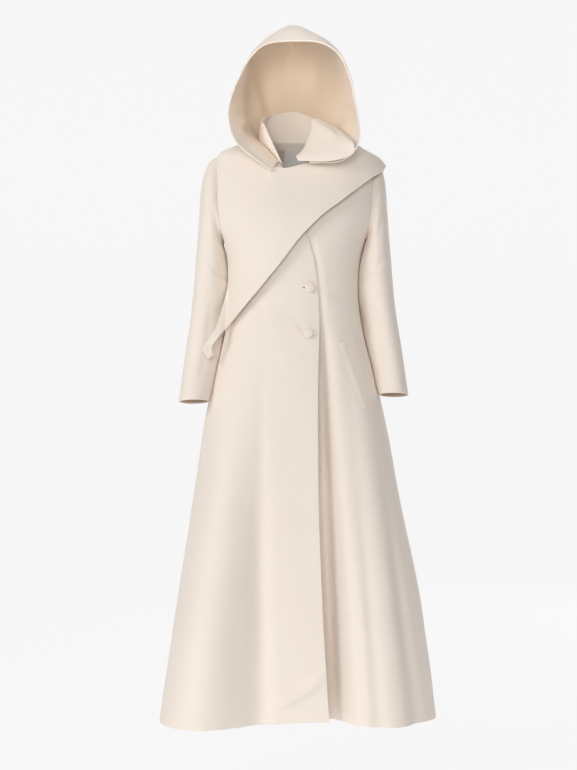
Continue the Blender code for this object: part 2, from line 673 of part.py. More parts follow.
def hood_surface(rib, t):
    """The middle of the hood's cloth: a cubic curve on each rib, from the rim to the neck."""
    t = np.asarray(t)[..., None]
    rim = np.stack([read(HOOD, "rim_" + axis, rib) for axis in "xyz"], axis=-1)
    base = neck_edge(read(HOOD, "base_turn", rib), 0)
    front = rim + np.stack([read(HOOD, "front_" + axis, rib) for axis in "xyz"], axis=-1)
    back = base + np.stack([read(HOOD, "back_" + axis, rib) for axis in "xyz"], axis=-1)
    return ((1 - t) ** 3 * rim + 3 * t * (1 - t) ** 2 * front
            + 3 * t * t * (1 - t) * back + t ** 3 * base)


def ribbed_wall(name, surface, ribs, rows, cloth, aside=0.0):
    """A wall on ribs, half of its cloth on each side of the surface, moved aside by its seam."""
    t = np.linspace(0.0, 1.0, rows)[:, None]
    grid_t, grid_ribs = np.broadcast_arrays(t, ribs[None, :])
    normals = outward(surface, grid_ribs, grid_t, RIB_STEP, 0.002)
    points = surface(grid_ribs, grid_t) + normals * CLOTH / 2
    points[..., 0] += aside
    return wall(name, points, normals, cloth)


def build_hoods(cloth):
    """The two halves of the hood, apart by a seam at the middle."""
    right = np.linspace(0.0, HOOD_MIDDLE, HOOD_COLUMNS)
    left = np.linspace(HOOD_MIDDLE, HOOD_END, HOOD_COLUMNS)
    ribbed_wall("hood_right", hood_surface, right, HOOD_ROWS, cloth, -HALF_SEAM)
    ribbed_wall("hood_left", hood_surface, left, HOOD_ROWS, cloth, HALF_SEAM)


def collar_surface(rib, t):
    """The middle of the collar's cloth: a parabola on each rib from the neck, by its roll."""
    t = np.asarray(t)[..., None]
    base = neck_edge(read(COLLAR, "base_turn", rib), 1)
    roll = np.stack([read(COLLAR, "roll_" + axis, rib) for axis in "xyz"], axis=-1)
    edge = np.stack([read(COLLAR, "edge_" + axis, rib) for axis in "xyz"], axis=-1)
    pull = 2.0 * roll - 0.5 * (base + edge)
    return (1 - t) ** 2 * base + 2 * t * (1 - t) * pull + t * t * edge


def build_collar(cloth):
    """The collar that stands inside the hood."""
    ribs = np.linspace(0.0, COLLAR_END, COLLAR_RIBS)
    return ribbed_wall("collar", collar_surface, ribs, COLLAR_ROWS, cloth)


def drape_base(turn, z):
    """The face that the draped panel lies on: the body, wider over the left shoulder."""
    wider = read(DRAPE_SPREAD, "wider", z) * ease(np.sin(np.radians(turn)) * 2.0)
    return section_point(turn, z, wider=wider, folds=())


def build_drape(cloth):
    """The draped panel: ribs laid over the body from its upper to its lower edge, then a tail."""
    ribs = np.linspace(0.0, DRAPE_LAST, DRAPE_RIBS)
    low_lift = read(DRAPE, "low_lift", ribs)
    low_z = read(DRAPE, "low_z", ribs)
    low_turn = np.interp(ribs, DRAPE["rib"], DRAPE["low_turn"])
    low_x = np.interp(ribs, DRAPE["rib"], DRAPE["low_x"])
    for index in np.nonzero(ribs >= DRAPE_CORNER + 1.0)[0]:
        here = slice(index, index + 1)
        over = lifted(drape_base, low_lift[here])
        low_turn[here] = turn_at(over, low_x[here], low_z[here], -89.0, 89.0)
    between = (ribs > DRAPE_CORNER) & (ribs < DRAPE_CORNER + 1.0)
    first = low_turn[ribs >= DRAPE_CORNER + 1.0][0]
    low_turn[between] = SHOULDER_TURN + (first - SHOULDER_TURN) * (ribs[between] - DRAPE_CORNER)
    top_turn = read(DRAPE, "top_turn", ribs)
    top_z = read(DRAPE, "top_z", ribs)
    t = np.linspace(0.0, 1.0, DRAPE_COLUMNS)
    turns = top_turn[:, None] + (low_turn - top_turn)[:, None] * t
    bow = read(DRAPE, "bow", ribs)[:, None] * 4.0 * t * (1 - t)
    heights = top_z[:, None] + (low_z - top_z)[:, None] * t + bow
    lift = read(DRAPE, "lift", ribs)[:, None] * (1 - t) + low_lift[:, None] * t ** 2
    lift = np.maximum(lift, DRAPE_LEAST_LIFT) + CLOTH
    on_body = drape_base(turns, heights) + outward(drape_base, turns, heights) * lift[..., None]

    rows = np.linspace(0.0, 8.0, TAIL_ROWS)
    left = np.stack([read(TAIL, "left_" + axis, rows) for axis in "xyz"], axis=-1)
    right = np.stack([read(TAIL, "right_" + axis, rows) for axis in "xyz"], axis=-1)
    share = t[None, :, None]
    tail = left[:, None, :] * (1 - share) + right[:, None, :] * share
    points = np.concatenate([on_body, tail[1:]])
    near = slice(len(on_body) - 4, len(on_body) + 3)
    before = slice(near.start - 1, near.stop - 1)
    after = slice(near.start + 1, near.stop + 1)
    for _ in range(TAIL_BLEND):
        points[near] = 0.5 * points[near] + 0.25 * (points[before] + points[after])
    normals = grid_normals(points)
    if normals[12, 6, 1] > 0.0:
        normals = -normals
    return wall("drape", points, normals, cloth)


def build_strip(name, surface, turns, heights, clear, thick, material):
    """A thin piece that lies outside a surface, its inner face a given distance clear of it."""
    normals = outward(surface, turns, heights)
    outer = surface(turns, heights) + normals * (clear + thick)
    return wall(name, outer, normals, material, thickness=thick)


def build_pocket(cloth):
    """The welt: a slanted strip laid on the left front from its points."""
    along = np.linspace(0.0, 1.0, 13)[:, None]
    across = np.linspace(-0.5, 0.5, 4)[None, :] * POCKET_WIDTH
    run_x = POCKET_BOTTOM[0] - POCKET_TOP[0]
    run_z = POCKET_BOTTOM[1] - POCKET_TOP[1]
    length = math.hypot(run_x, run_z)
    x = POCKET_TOP[0] + run_x * along - across * run_z / length
    z = POCKET_TOP[1] + run_z * along + across * run_x / length
    turns = turn_at(left_surface, x, z, -10.0, 89.0)
    build_strip("pocket_welt", left_surface, turns, z, POCKET_CLEAR, POCKET_THICK, cloth)


def build_neck_inside(lining, label_cloth):
    """The facing inside the back of the neck and the bare label that hangs below it."""
    def inside(depth):
        def face(turn, z):
            return body_surface(turn, z) - outward(body_surface, turn, z) * depth
        return face
    facing_depth = CLOTH + FACING_CLEAR + TRIM_THICK
    turns = np.linspace(FACING_TURN, 360.0 - FACING_TURN, 17)[None, :]
    heights = np.linspace(FACING_TOP_Z, FACING_TOP_Z - FACING_DEPTH, 4)[:, None]
    turns, heights = np.broadcast_arrays(turns, heights)
    build_strip("neck_facing", inside(facing_depth), turns, heights, 0.0, TRIM_THICK, lining)
    label_depth = facing_depth + LABEL_CLEAR + TRIM_THICK
    turns = np.linspace(BACK_TURN - LABEL_HALF_TURN, BACK_TURN + LABEL_HALF_TURN, 7)[None, :]
    heights = np.linspace(LABEL_TOP_Z, LABEL_TOP_Z - LABEL_DEPTH, 6)[:, None]
    turns, heights = np.broadcast_arrays(turns, heights)
    build_strip("label", inside(label_depth), turns, heights, 0.0, TRIM_THICK, label_cloth)


def build_button(name, x, height, cloth):
    """A covered button: a low dome turned round the cloth's normal, seated on the right front."""
    z = np.array([height])
    turn = turn_at(body_surface, np.array([x]), z, -60.0, 60.0)
    centre = body_surface(turn, z)[0]
    normal = outward(body_surface, turn, z)[0]
    across = np.cross(normal, np.array([0.0, 0.0, 1.0]))
    across /= np.linalg.norm(across)
    upward = np.cross(across, normal)
    profile = ((0.30, 0.00), (0.30, 0.18), (0.88, 0.22), (1.00, 0.42), (0.97, 0.66), (0.80, 0.86),
               (0.45, 0.97))
    around = np.linspace(0.0, 2 * math.pi, BUTTON_SIDES, endpoint=False)
    rings = []
    for reach, rise in profile:
        ring = np.outer(np.cos(around), across) + np.outer(np.sin(around), upward)
        base = centre + normal * (BUTTON_CLEAR + BUTTON_HEIGHT * rise)
        rings.append(base + ring * BUTTON_RADIUS * reach)
    points = np.concatenate(rings + [[centre + normal * BUTTON_CLEAR],
                                     [centre + normal * (BUTTON_CLEAR + BUTTON_HEIGHT)]])
    count = len(around)
    faces = []
    for k in range(count):
        n = (k + 1) % count
        for r in range(len(profile) - 1):
            a, b = r * count + k, r * count + n
            faces += [(a, b, b + count), (a, b + count, a + count)]
        bottom, top = len(points) - 2, len(points) - 1
        last = (len(profile) - 1) * count
        faces += [(n, k, bottom), (last + k, last + n, top)]
    return finish_mesh(name, points, np.array(faces), cloth)


def build_coat():
    """Makes every piece of the coat."""
    clear_scene()
    cloth = cloth_material("wool_coating", CREAM, 0.85)
    lining = cloth_material("neck_tape", LINING_CREAM, 0.75)
    label_cloth = cloth_material("label_satin", LABEL_GREY, 0.5)
    build_body(cloth)
    build_sleeve("sleeve_right", -1, cloth)
    build_sleeve("sleeve_left", 1, cloth)
    build_hoods(cloth)
    build_collar(cloth)
    build_drape(cloth)
    build_pocket(cloth)
    build_neck_inside(lining, label_cloth)
    for name, x, height in BUTTON_PLACES:
        build_button(name, x, height, cloth)


build_coat()
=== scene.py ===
"""The looks of a long hooded wool coat with a draped front panel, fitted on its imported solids.

The frame is the solids' own: metres, +Z up, the front facing -Y, +X the wearer's left, and the
origin at the base of the neck. Each cloth is a surface of two parameters, worked out from the
same tables of sections as the solids, on a closer grid and with the finer folds.
"""
import math

import bpy
import numpy as np
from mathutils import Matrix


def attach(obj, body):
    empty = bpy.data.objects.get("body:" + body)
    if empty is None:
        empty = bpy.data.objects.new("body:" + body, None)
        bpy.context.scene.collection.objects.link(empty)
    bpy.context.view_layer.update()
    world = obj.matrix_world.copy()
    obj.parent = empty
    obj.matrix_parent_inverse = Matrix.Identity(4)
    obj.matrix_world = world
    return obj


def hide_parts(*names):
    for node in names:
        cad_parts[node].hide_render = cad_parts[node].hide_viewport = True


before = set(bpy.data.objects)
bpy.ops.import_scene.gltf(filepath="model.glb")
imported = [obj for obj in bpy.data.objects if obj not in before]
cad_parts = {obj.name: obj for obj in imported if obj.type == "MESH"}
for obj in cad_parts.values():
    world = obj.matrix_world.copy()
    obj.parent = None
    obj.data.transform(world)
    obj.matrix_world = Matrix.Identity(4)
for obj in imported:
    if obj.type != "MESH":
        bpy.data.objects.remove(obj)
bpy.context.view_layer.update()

# cloth and seams
CLOTH = 0.0024
HALF_SEAM = 0.00015
SEAM_ROUND = 0.0005
EDGE_ROUND = 0.0012

# how much thicker the cloth is where it is turned in, and over how many steps or what share
HEM_THICKER = 0.0010
CLOSING_THICKER = 0.0014
HOOD_THICKER = 0.0012
COLLAR_THICKER = 0.0008
DRAPE_THICKER = 0.0016
HEM_STEPS = 6.0
CLOSING_STEPS = 5.0
CUFF_STEPS = 7.0
HOOD_RIM_SHARE = 0.08
COLLAR_RIM_SHARE = 0.1
DRAPE_RIM_SHARE = 0.06

# slow waviness of each cloth: how deep it is and how far apart its waves lie
RIGHT_WAVE = (0.0011, 0.11)
LEFT_WAVE = (0.0010, 0.10)
FINE_WAVE = (0.0005, 0.07)
SLEEVE_WAVE = (0.0007, 0.12)
HOOD_WAVE = (0.0014, 0.15)
COLLAR_WAVE = (0.0006, 0.15)
DRAPE_WAVE = (0.0009, 0.09)

# heights of the coat
NECK_Z = -0.002
SHOULDER_Z = -0.045
SHOULDER_REACH = 0.198
UNDERARM_Z = -0.262
WAIST_Z = -0.300
HIP_Z = -0.500
HEM_Z = -1.481
V_TIP_Z = -0.080
V_TIP_TURN = 10.0
SHOULDER_TURN = 90.0
BACK_TURN = 180.0

# how far the hem climbs at the lap, and over what width
HEM_RISE = 0.008
HEM_RISE_X = 0.060
HEM_RISE_SPAN = 0.200

# how the left front lies under the right one
LAP_DROP = 0.0052
LAP_FADE = 0.022

# how many steps each piece is cut into, across and down
SHOULDER_ROWS = 27
WAIST_ROWS = 50
SKIRT_ROWS = 160
FRONT_COLUMNS = 90
BACK_COLUMNS = 60
ARMHOLE_STEPS = 41
HOOD_COLUMNS = 80
HOOD_ROWS = 80
COLLAR_COLUMNS = 132
COLLAR_ROWS = 36
DRAPE_COLUMNS = 96
DRAPE_RIBS = 190
TAIL_ROWS = 60
SLEEVE_HEAD_ROWS = 27
SLEEVE_ROWS = 150
POCKET_ROWS = 90
POCKET_COLUMNS = 12
BUTTON_ROWS = 44
BUTTON_COLUMNS = 72
HOLE_STEPS = 360
THREAD_STEPS = 10
# how finely a row is sampled to find a place on it, and its length
SEARCH_STEPS = 241
LENGTH_STEPS = 121


def numbers(text):
    """Rows of numbers from a block of text, below the line that names its columns."""
    return np.array([row.split() for row in text.strip().split("\n")[1:]], dtype=float)


def table(text):
    """Named columns from such a block, its rows sorted by the first one, which read() looks up."""
    values = numbers(text)
    values = values[np.argsort(values[:, 0])].T
    named = dict(zip(text.strip().split("\n")[0].split(), values))
    named["key"] = values[0]
    return named


# the body's sections from the neck down: half ovals in front of and behind the side seams
BODY = table("""
     z centre_x half_width front_y back_y side_y power
     0        0       .084   -.062   .062   .002     2
 -.012        0       .112   -.068    .07   .002     2
 -.026     .001        .15   -.077    .08   .002     2
 -.045     .002       .198   -.088   .092   .002     2
  -.07     .003        .21     -.1     .1   .002   2.1
  -.11     .004       .215   -.115   .107   .002   2.3
  -.16     .004       .214   -.128   .109   .001   2.4
 -.215     .004       .203   -.138   .107      0   2.4
 -.262     .004        .18   -.138   .103      0   2.4
 -.312     .003       .168   -.128   .094      0   2.3
 -.384        0       .165   -.114   .087      0   2.3
  -.44        0       .169   -.114   .095      0   2.3
   -.5     .001       .179   -.118    .11   .002   2.3
   -.6     .003       .205   -.122   .132   .008   2.3
 -.717     .004       .231   -.124    .15   .016   2.4
 -.922     .008       .266   -.121   .178   .026   2.5
-1.178     .014       .313   -.112   .212   .038   2.6
-1.481     .014       .354   -.102   .245    .05   2.6
""")

# how far the armhole's edge lies from the body's centre line
ARMHOLE = table("""
    z reach
-.045  .198
-.056 .1985
-.078 .1985
 -.11 .1975
 -.16 .1955
-.215 .1885
 -.24  .184
-.262   .18
""")

# the neck seam's height by the turn round the neck, 0 at the centre front
NECKLINE = table("""
turn     z
 -90  .001
 -75 -.006
 -60 -.015
 -45 -.029
 -30 -.053
 -16  -.08
  10 -.081
  16 -.079
  30 -.053
  45 -.029
  60 -.015
  75 -.006
  90  .001
""")

# the closing edge of the right front, and the hidden edge of the left front under it
CLOSING = table("""
     z right_x left_x
  -.08   -.029    .02
   -.1   -.021   .002
  -.15   -.004   -.02
  -.24    .027   -.03
 -.312     .05  -.032
 -.384     .06  -.032
  -.66     .06   -.03
 -.922    .062  -.026
-1.178    .071  -.018
-1.481    .089      0
""")

# folds of the fronts and the back: cones that open from their tops down to the hem, with the
# half span and the depth that they have there
FRONT_FOLDS = numbers("""
top_x hem_x top_z span depth
 -.12 -.225  -.48  .15    .1
  .15  .238  -.43  .12  .052
 -.08 -.085   -.4  .05 -.009
 .155  .205  -.85 .028 -.007
   .2    .3   -.7  .04 -.012
""")
BACK_FOLDS = numbers("""
top_x hem_x top_z span depth
 -.06  -.21  -.45  .09   .04
  .06  .225  -.45  .09   .04
 -.02 -.085   -.5  .06 -.032
  .03    .1  -.48  .06  -.03
    0   .01   -.6 .055  .018
""")

# the left front falls back beside the lap and rises to a long ridge
LEFT_FOLDS = numbers("""
top_x hem_x top_z span depth
  .06  .096   -.3 .066 -.046
 .092   .17   -.3  .06  .016
""")

# the left sleeve's sections below its head, from the armhole to the cuff
SLEEVE = table("""
row outer_x outer_z inner_x inner_z front_y back_y tilt
  1    .238    -.15     .19   -.286   -.074   .068    0
  2   .2435   -.235    .188   -.318   -.077    .07    0
  3    .249   -.305    .182   -.352   -.074   .066 .002
  4   .2545   -.375   .1795     -.4    -.07   .058 .004
  5    .263    -.45    .184   -.458   -.068    .05 .005
  6    .275   -.528   .1965   -.528    -.07    .04 .006
  7    .285     -.6    .213   -.598   -.076   .028 .006
  8    .292  -.6515    .221  -.6515   -.082   .016 .006
""")
SLEEVE_RIGHT_LONGER = 0.017
SLEEVE_CLEAR = 0.0012

# how far the inner edge of each sleeve swings in to lie on the body, and how far forward there
SLEEVE_HUG = table("""
row left right forward
  1 .014  .016   -.012
1.5 .022  .026   -.024
  2 .028   .03   -.032
  3 .026  .032   -.036
  4 .022   .03   -.038
  5 .014  .028   -.038
  6  .02  .026   -.036
  7 .016   .02   -.028
  8 .004  .006   -.006
""")

# the hood's ribs: from the rim, by two handles, down to the seam round the neck
HOOD = table("""
rib  rim_x rim_y  rim_z front_x front_y front_z back_x back_y back_z base_turn
  0  -.054 -.127  -.092   -.002    .004    .003  -.003  -.008   .007       -22
  1  -.097  -.14 -.0632    .004     .02    .004  -.012  -.022   .014       -38
  2 -.1435 -.139 -.0222     .01     .04    .006  -.034  -.012   .034       -58
  3  -.163 -.127  .0343    .008     .06     .01   -.05    .03   .072       -80
  4  -.158 -.118   .087       0     .08     .02  -.062     .1    .11      -104
  5 -.1375 -.112   .142    .004      .1    .036  -.062    .15   .166      -124
  6  -.109 -.108   .193    .006    .115    .056  -.045   .185   .208      -144
  7  -.069 -.104   .228    .004    .135    .084  -.016   .205   .264      -164
  8  -.002   -.1  .2365       0     .16    .128      0    .21   .312      -180
  9   .066   -.1   .233    .002    .135    .084   .014   .205   .264      -196
 10   .113 -.103   .203    .002    .115    .056    .04   .185   .208      -216
 11  .1376 -.106  .1524    .012     .11     .04   .056    .15    .17      -236
 12    .15 -.112   .103     .01     .09     .02    .06     .1    .11      -256
 13   .161 -.123   .038     .01     .07     .01    .05    .03   .072      -280
 14  .1609  -.14 -.0273    .006     .04    .006   .034  -.012   .034      -304
 15    .12 -.143  -.069    .004     .02    .004   .014  -.024   .014      -324
 16    .04 -.138  -.074    .002    .006    .003   .004  -.012   .008      -340
""")
HOOD_MIDDLE = 8.0
HOOD_END = 16.0
NECK_GAP = 0.0002
NECK_RISE = 0.0012
RIB_STEP = 0.05

# the collar's ribs: base on the neck seam, the roll it passes over, and its free edge
COLLAR = table("""
rib base_turn roll_x roll_y roll_z edge_x edge_y edge_z
  0       -18   -.05  -.108  -.028 -.0744  -.092  .0266
  1       -40  -.072  -.082  -.008   -.08   -.07   .036
  2       -80  -.085   -.03   .023 -.0785  -.035   .046
  3      -130  -.068   .042   .035   -.06   .047   .068
  4      -180      0    .07   .043      0   .076   .082
  5      -230   .058   .044   .034   .051   .048   .062
  6      -270   .054   .005   .046    .08      0    .04
  7      -290  .0485   -.03   .048   .116  -.058   .018
  8      -305   .049   -.06   .022   .148  -.129  -.022
  9      -318   .043  -.088  -.006   .144   -.15  -.054
 10      -330    .03  -.106   -.03    .09  -.153   -.07
 11      -341    .01   -.12  -.054   .012  -.138  -.068
""")
COLLAR_END = 11.0

# the draped panel's ribs, from its end behind the left shoulder to the right hip: where each
# begins and ends, how far it stands off there, and how far it bows up between
DRAPE = table("""
rib top_turn top_z low_x low_z low_turn lift low_lift  bow
  0      150  -.03     0 -.125      122 .006     .006    0
  1      120 -.018     0 -.096      106 .006     .006    0
  2       90 -.012     0 -.069       90 .006     .006    0
  3       62 -.026  .198 -.106        0 .006      .01    0
  4       38 -.063  .168 -.129        0 .006     .013    0
  5       14 -.075  .136 -.156        0 .006     .018    0
  6      -14 -.087  .105  -.18        0 .006     .018    0
  7      -38 -.072  .068 -.206        0 .006     .018    0
  8      -62 -.036  .032 -.241        0 .006     .018 .006
  9      -82 -.022     0 -.273        0 .007     .018 .022
 10      -79 -.052 -.033 -.319        0 .007     .018  .04
 11      -71  -.12 -.066 -.356        0 .005     .019 .044
 12      -69 -.205  -.09 -.391        0 .004     .019 .032
 13      -76 -.275  -.12 -.425        0 .004     .019 .018
 14    -78.5  -.33  -.15 -.461        0 .004     .018 .006
 15    -78.5 -.385 -.171 -.488        0 .004     .018    0
""")
DRAPE_LAST = 15.0
DRAPE_CORNER = 2.0
DRAPE_LEAST_LIFT = 0.003
# a place inside the body, which the panel's outer face turns away from
DRAPE_INSIDE = (0.0, 0.0, -0.25)

# how much wider than the body the panel lies over the left shoulder, by height
DRAPE_SPREAD = table("""
    z wider
    0  .016
-.012  .026
 -.02  .028
 -.03  .016
-.045  .006
-.056   .01
-.069  .016
 -.11  .024
 -.16  .022
 -.22   .01
  -.3     0
""")

# the panel's free tail by the right hip: its two edges as it narrows, leaves the body and curls
TAIL = table("""
row left_x left_y left_z right_x right_y right_z
  0 -.1715  -.042  -.404   -.173    -.08   -.489
  1  -.179  -.057  -.428   -.178   -.087  -.4935
  2  -.187   -.07  -.455   -.183   -.091  -.4985
  3  -.196  -.083  -.483   -.189   -.094  -.5055
  4  -.208  -.091  -.505   -.195   -.096   -.513
  5   -.22  -.092  -.523   -.201   -.094  -.5225
  6  -.227   -.09  -.534   -.205   -.089    -.53
  7  -.225  -.087  -.547   -.206   -.085   -.542
  8  -.214  -.084  -.561   -.203   -.082   -.551
""")
# how often the tail and the panel's edge are smoothed, and how many rows round the tail's start
TAIL_BLEND = 30
TAIL_BEFORE = 24
TAIL_AFTER = 14
EDGE_SMOOTHING = 60

# the pocket's welt, a slanted strip on the left front
POCKET_TOP = (0.120, -0.522)
POCKET_BOTTOM = (0.179, -0.684)
POCKET_WIDTH = 0.013
POCKET_THICK = 0.0012
POCKET_CLEAR = 0.0002
POCKET_GAPE = 0.0050

# inside the back of the neck
FACING_HALF_TURN = 58.0
FACING_TOP_Z = 0.003
FACING_DEPTH = 0.019
LABEL_HALF_TURN = 18.0
LABEL_TOP_Z = -0.016
LABEL_DEPTH = 0.042
TRIM_THICK = 0.0010
TRIM_ROUND = 0.0004
FACING_CLEAR = 0.0005
LABEL_CLEAR = 0.0008

# the covered buttons, on the right front by its edge
BUTTON_RADIUS = 0.0125
BUTTON_HEIGHT = 0.0080
BUTTON_CLEAR = 0.0008
# each button's name, where it sits on the front, x and z, and where its hole starts from there
BUTTON_PLACES = (("upper", 0.0405, -0.383, -0.0190), ("lower", 0.0375, -0.497, -0.0130))
# a worked buttonhole: where it ends from the button's middle, its half height and its thread
HOLE_END = 0.0040
HOLE_HALF = 0.0021
HOLE_THREAD = 0.00065
HOLE_STITCHES = 38

# the heights at which the armhole's eight stretches end
ARMHOLE_DROP = table("""
mark     z
   0 -.045
   1 -.056
   2 -.078
   3 -.108
   4 -.142
   5 -.178
   6 -.212
   7  -.24
   8 -.262
""")

# finer folds, each a line from a place to another: a counts across and d down, x and z on the
# fronts and the back; then how far the line bows aside, its half width and its depth
FRONT_CREASES = numbers("""
from_a from_d  to_a   to_d   bow width  depth
 -.128    -.6 -.078   -1.3   .01  .026  -.002
 -.098 -1.418  .084 -1.318  .022  .009 -.0016
  -.08  -1.44   .09 -1.344  .022  .012   .009
  .006  -.462  .052  -.512  .004  .006  -.002
  -.01  -.478   .05   -.53  .004  .006  .0014
  -.07  -.392  .026  -.372  .005  .007 -.0014
 -.066   -.43  .022   -.47 -.006  .009 -.0014
  -.14   -.41  -.06   -.43  .006   .01 -.0018
 -.146   -.36  -.07  -.372  .006   .01  .0014
""")
LEFT_CREASES = numbers("""
from_a from_d to_a  to_d   bow width  depth
  .071    -.4 .106  -1.7     0  .023  -.026
  .067   -.43  .08  -.92     0  .016  -.012
   .15   -.41  .07   -.4  .006  .009 -.0018
  .146   -.44  .08 -.462 -.006  .009 -.0016
   .12    -.7  .19 -1.42  .012  .022  .0036
   .24    -.9   .3 -1.44  .008  .018 -.0034
    .2   -.32  .15  -.33  .002  .006 -.0014
""")
BACK_CREASES = numbers("""
from_a from_d to_a  to_d   bow width  depth
  -.12  -.372  .03 -.388  .008   .01 -.0022
   .13  -.396 -.02  -.41 -.006   .01  -.002
  -.11   -.35 -.01 -.352  .006   .01  .0016
  -.11   -.54 -.15  -1.4  .016   .02  -.004
   .09   -.56  .16 -1.42 -.014   .02  -.004
   .02   -.62  .05 -1.43  .008  .022  .0034
  -.17   -.12 -.12  -.25   .01  .012  -.002
   .17   -.12  .12  -.25  -.01  .012  -.002
""")

# the same on the sleeves: turns round the sleeve in hundreds of degrees, then rows by quarters
RIGHT_SLEEVE_CREASES = numbers("""
from_a from_d to_a to_d  bow width  depth
   2.1     .6    3  .74  .06   .06  -.003
   2.3    .78  3.1   .9  .05  .055 -.0032
    .7    .72 1.55   .8 -.05   .05  -.003
    .6    .86  1.5  .92  .05   .05  .0022
    .3     .3   .8  .55  .08   .08 -.0024
    .8      1    1  1.9  .05   .09 -.0022
""")
LEFT_SLEEVE_CREASES = numbers("""
from_a from_d to_a to_d  bow width  depth
   2.2    .62 3.05  .72  .05  .055  -.003
    .5     .7 1.45  .82 -.05   .05 -.0034
   .55    .84  1.5  .95  .05   .05  .0024
    .6   1.02 1.55 1.06  .03  .045  -.002
   .35     .3  .85   .5  .08   .08 -.0024
""")

# on the hood and the collar: tenths of ribs, then shares of the way from the edge to the seam
HOOD_CREASES = numbers("""
from_a from_d to_a to_d  bow width depth
    .6     .1 .612 1.02 .006   .06  .016
   .56    .36  .54  .95 -.01  .045 -.006
    .9     .4  .96   .9  .01  .045  .004
    .3     .1  .42   .8  .02   .04 -.004
  1.29     .1 1.18   .8 -.02   .04 -.004
""")
COLLAR_CREASES = numbers("""
from_a from_d to_a to_d bow width  depth
   .68     .3  .74  .95 .01  .025  -.002
    .7     .9  .88  .87   0   .02 -.0045
""")

# on the draped panel, again x and z
DRAPE_CREASES = numbers("""
from_a from_d to_a to_d  bow width  depth
   .14   -.07 -.08 -.22 .014  .022  .0014
  -.06   -.24 -.16 -.43  .01  .016 -.0018
   -.1   -.23 -.18 -.42  .01  .014  .0014
""")

# the sines of a slow waviness: tilt, phase and share
WAVES = ((0.3, 0.4, 1.0), (1.1, 2.1, 0.8), (-0.7, 4.4, 0.7), (1.9, 1.3, 0.5), (-1.6, 5.2, 0.4))

# a covered button's section: how far out, of its radius, and how far up, of its height
BUTTON_PROFILE = {
    "out": (0.02, 0.28, 0.30, 0.30, 0.84, 0.97, 1.00, 0.985, 0.90, 0.66, 0.34, 0.01),
    "up": (0.00, 0.00, 0.04, 0.18, 0.21, 0.30, 0.44, 0.62, 0.80, 0.93, 0.985, 1.00),
}

# finishes, as linear colours
SHEEN_TINT = (1.0, 0.97, 0.93, 1.0)
WOOL_TINT = (0.850, 0.765, 0.695, 1.0)
WOOL_SHADE = (0.770, 0.670, 0.570, 1.0)
# partly the wrong side's own warmer tone and partly painted shade: deep inside the hood it stands
# in for the shade there
WOOL_REVERSE_PAINTED_SHADE = (0.805, 0.675, 0.540, 1.0)
# painted shade: the dark colour of the strip that closes a buttonhole's slit
SLIT_PAINTED_SHADE = (0.300, 0.235, 0.180, 1.0)
# painted light: lighter copies of the wool's tint and mottle for the collar, to make up for the
# light the hood keeps from it
COLLAR_PAINTED_LIGHT = (0.885, 0.798, 0.714, 1.0)
COLLAR_PAINTED_LIGHT_MOTTLE = (0.850, 0.745, 0.640, 1.0)
TAPE_TINT = (0.940, 0.870, 0.780, 1.0)
TAPE_THREAD = (0.930, 0.850, 0.760, 1.0)
LABEL_TINT = (0.930, 0.910, 0.915, 1.0)
LABEL_THREAD = (0.850, 0.830, 0.835, 1.0)
FLOOR_TINT = (0.08, 0.08, 0.08, 1.0)
FLOOR_GLOW = 0.885
AIR_TINT = (1.0, 1.0, 1.0, 1.0)
AIR_STRENGTH = 0.28

# soft lights: name, place, what it points at, width, power and colour
LIGHTS = (
    ("key_light", (-3.5, -3.1, 1.0), (0.0, 0.0, -0.6), 1.8, 82.0, (1.0, 0.985, 0.97)),
    ("front_light", (-0.5, -5.6, 0.4), (0.0, 0.0, -0.5), 2.0, 126.0, (1.0, 0.99, 0.97)),
    ("back_light", (2.4, 4.4, 0.9), (0.0, 0.2, -0.6), 1.6, 55.0, (1.0, 0.99, 0.97)),
)
# lights with a narrow cone: name, place, what it points at, angle, radius, power and colour
SPOTS = (
    ("hood_light", (1.9, -1.2, 0.4), (-0.14, -0.08, 0.08), 12.5, 0.15, 60.0, (1.0, 0.985, 0.97)),
    ("side_light", (-1.9, -1.7, 0.35), (0.135, -0.08, 0.13), 7.5, 0.15, 38.0, (1.0, 0.985, 0.97)),
    ("low_light", (0.10, -3.0, -0.75), (0.03, 0.02, 0.235), 6.6, 0.12, 105.0, (1.0, 0.985, 0.965)),
    ("top_light", (0.0, 0.3, 2.5), (-0.005, -0.03, 0.27), 11.0, 0.20, 100.0, (1.0, 0.99, 0.985)),
)
FLOOR_Z = -1.66
FLOOR_FRONT = -1.6
FLOOR_HALF = 12.0
FLOOR_STEP = 0.36
FLOOR_ROWS = 60
METRES_A_PIXEL = 0.00256
PICTURE_ROWS = 770
SENSOR = 36.0
CAMERA_AWAY = 5.0
CAMERA_X = -0.0128
CAMERA_Z = -0.627


def ease(t):
    """Rises from 0 to 1 with a level start and end."""
    t = np.clip(t, 0.0, 1.0)
    return t * t * (3.0 - 2.0 * t)


def bell(t):
    """A cosine hump, 1 at the middle and 0 from one span away."""
    return 0.5 + 0.5 * np.cos(math.pi * np.clip(np.abs(t), 0.0, 1.0))


def read(rows, column, at):
    """Reads a table's column on a smooth curve through its rows, Hermite pieces between them."""
    keys = rows["key"]
    values = rows[column]
    slopes = np.gradient(values, keys)
    at = np.clip(np.asarray(at, dtype=float), keys[0], keys[-1])
    low = np.clip(np.searchsorted(keys, at, side="right") - 1, 0, len(keys) - 2)
    width = keys[low + 1] - keys[low]
    t = (at - keys[low]) / width
    start = (1 + 2 * t) * (1 - t) ** 2
    end = t * t * (3 - 2 * t)
    leave = t * (1 - t) ** 2 * width
    arrive = -t * t * (1 - t) * width
    level = start * values[low] + end * values[low + 1]
    return level + leave * slopes[low] + arrive * slopes[low + 1]


def reads(rows, columns, at):
    """Reads several columns of a table."""
    return [read(rows, column, at) for column in columns.split()]


def triple(rows, word, at):
    """Reads three columns of a table, word_x, word_y and word_z, as points."""
    return np.stack([read(rows, word + "_" + axis, at) for axis in "xyz"], axis=-1)


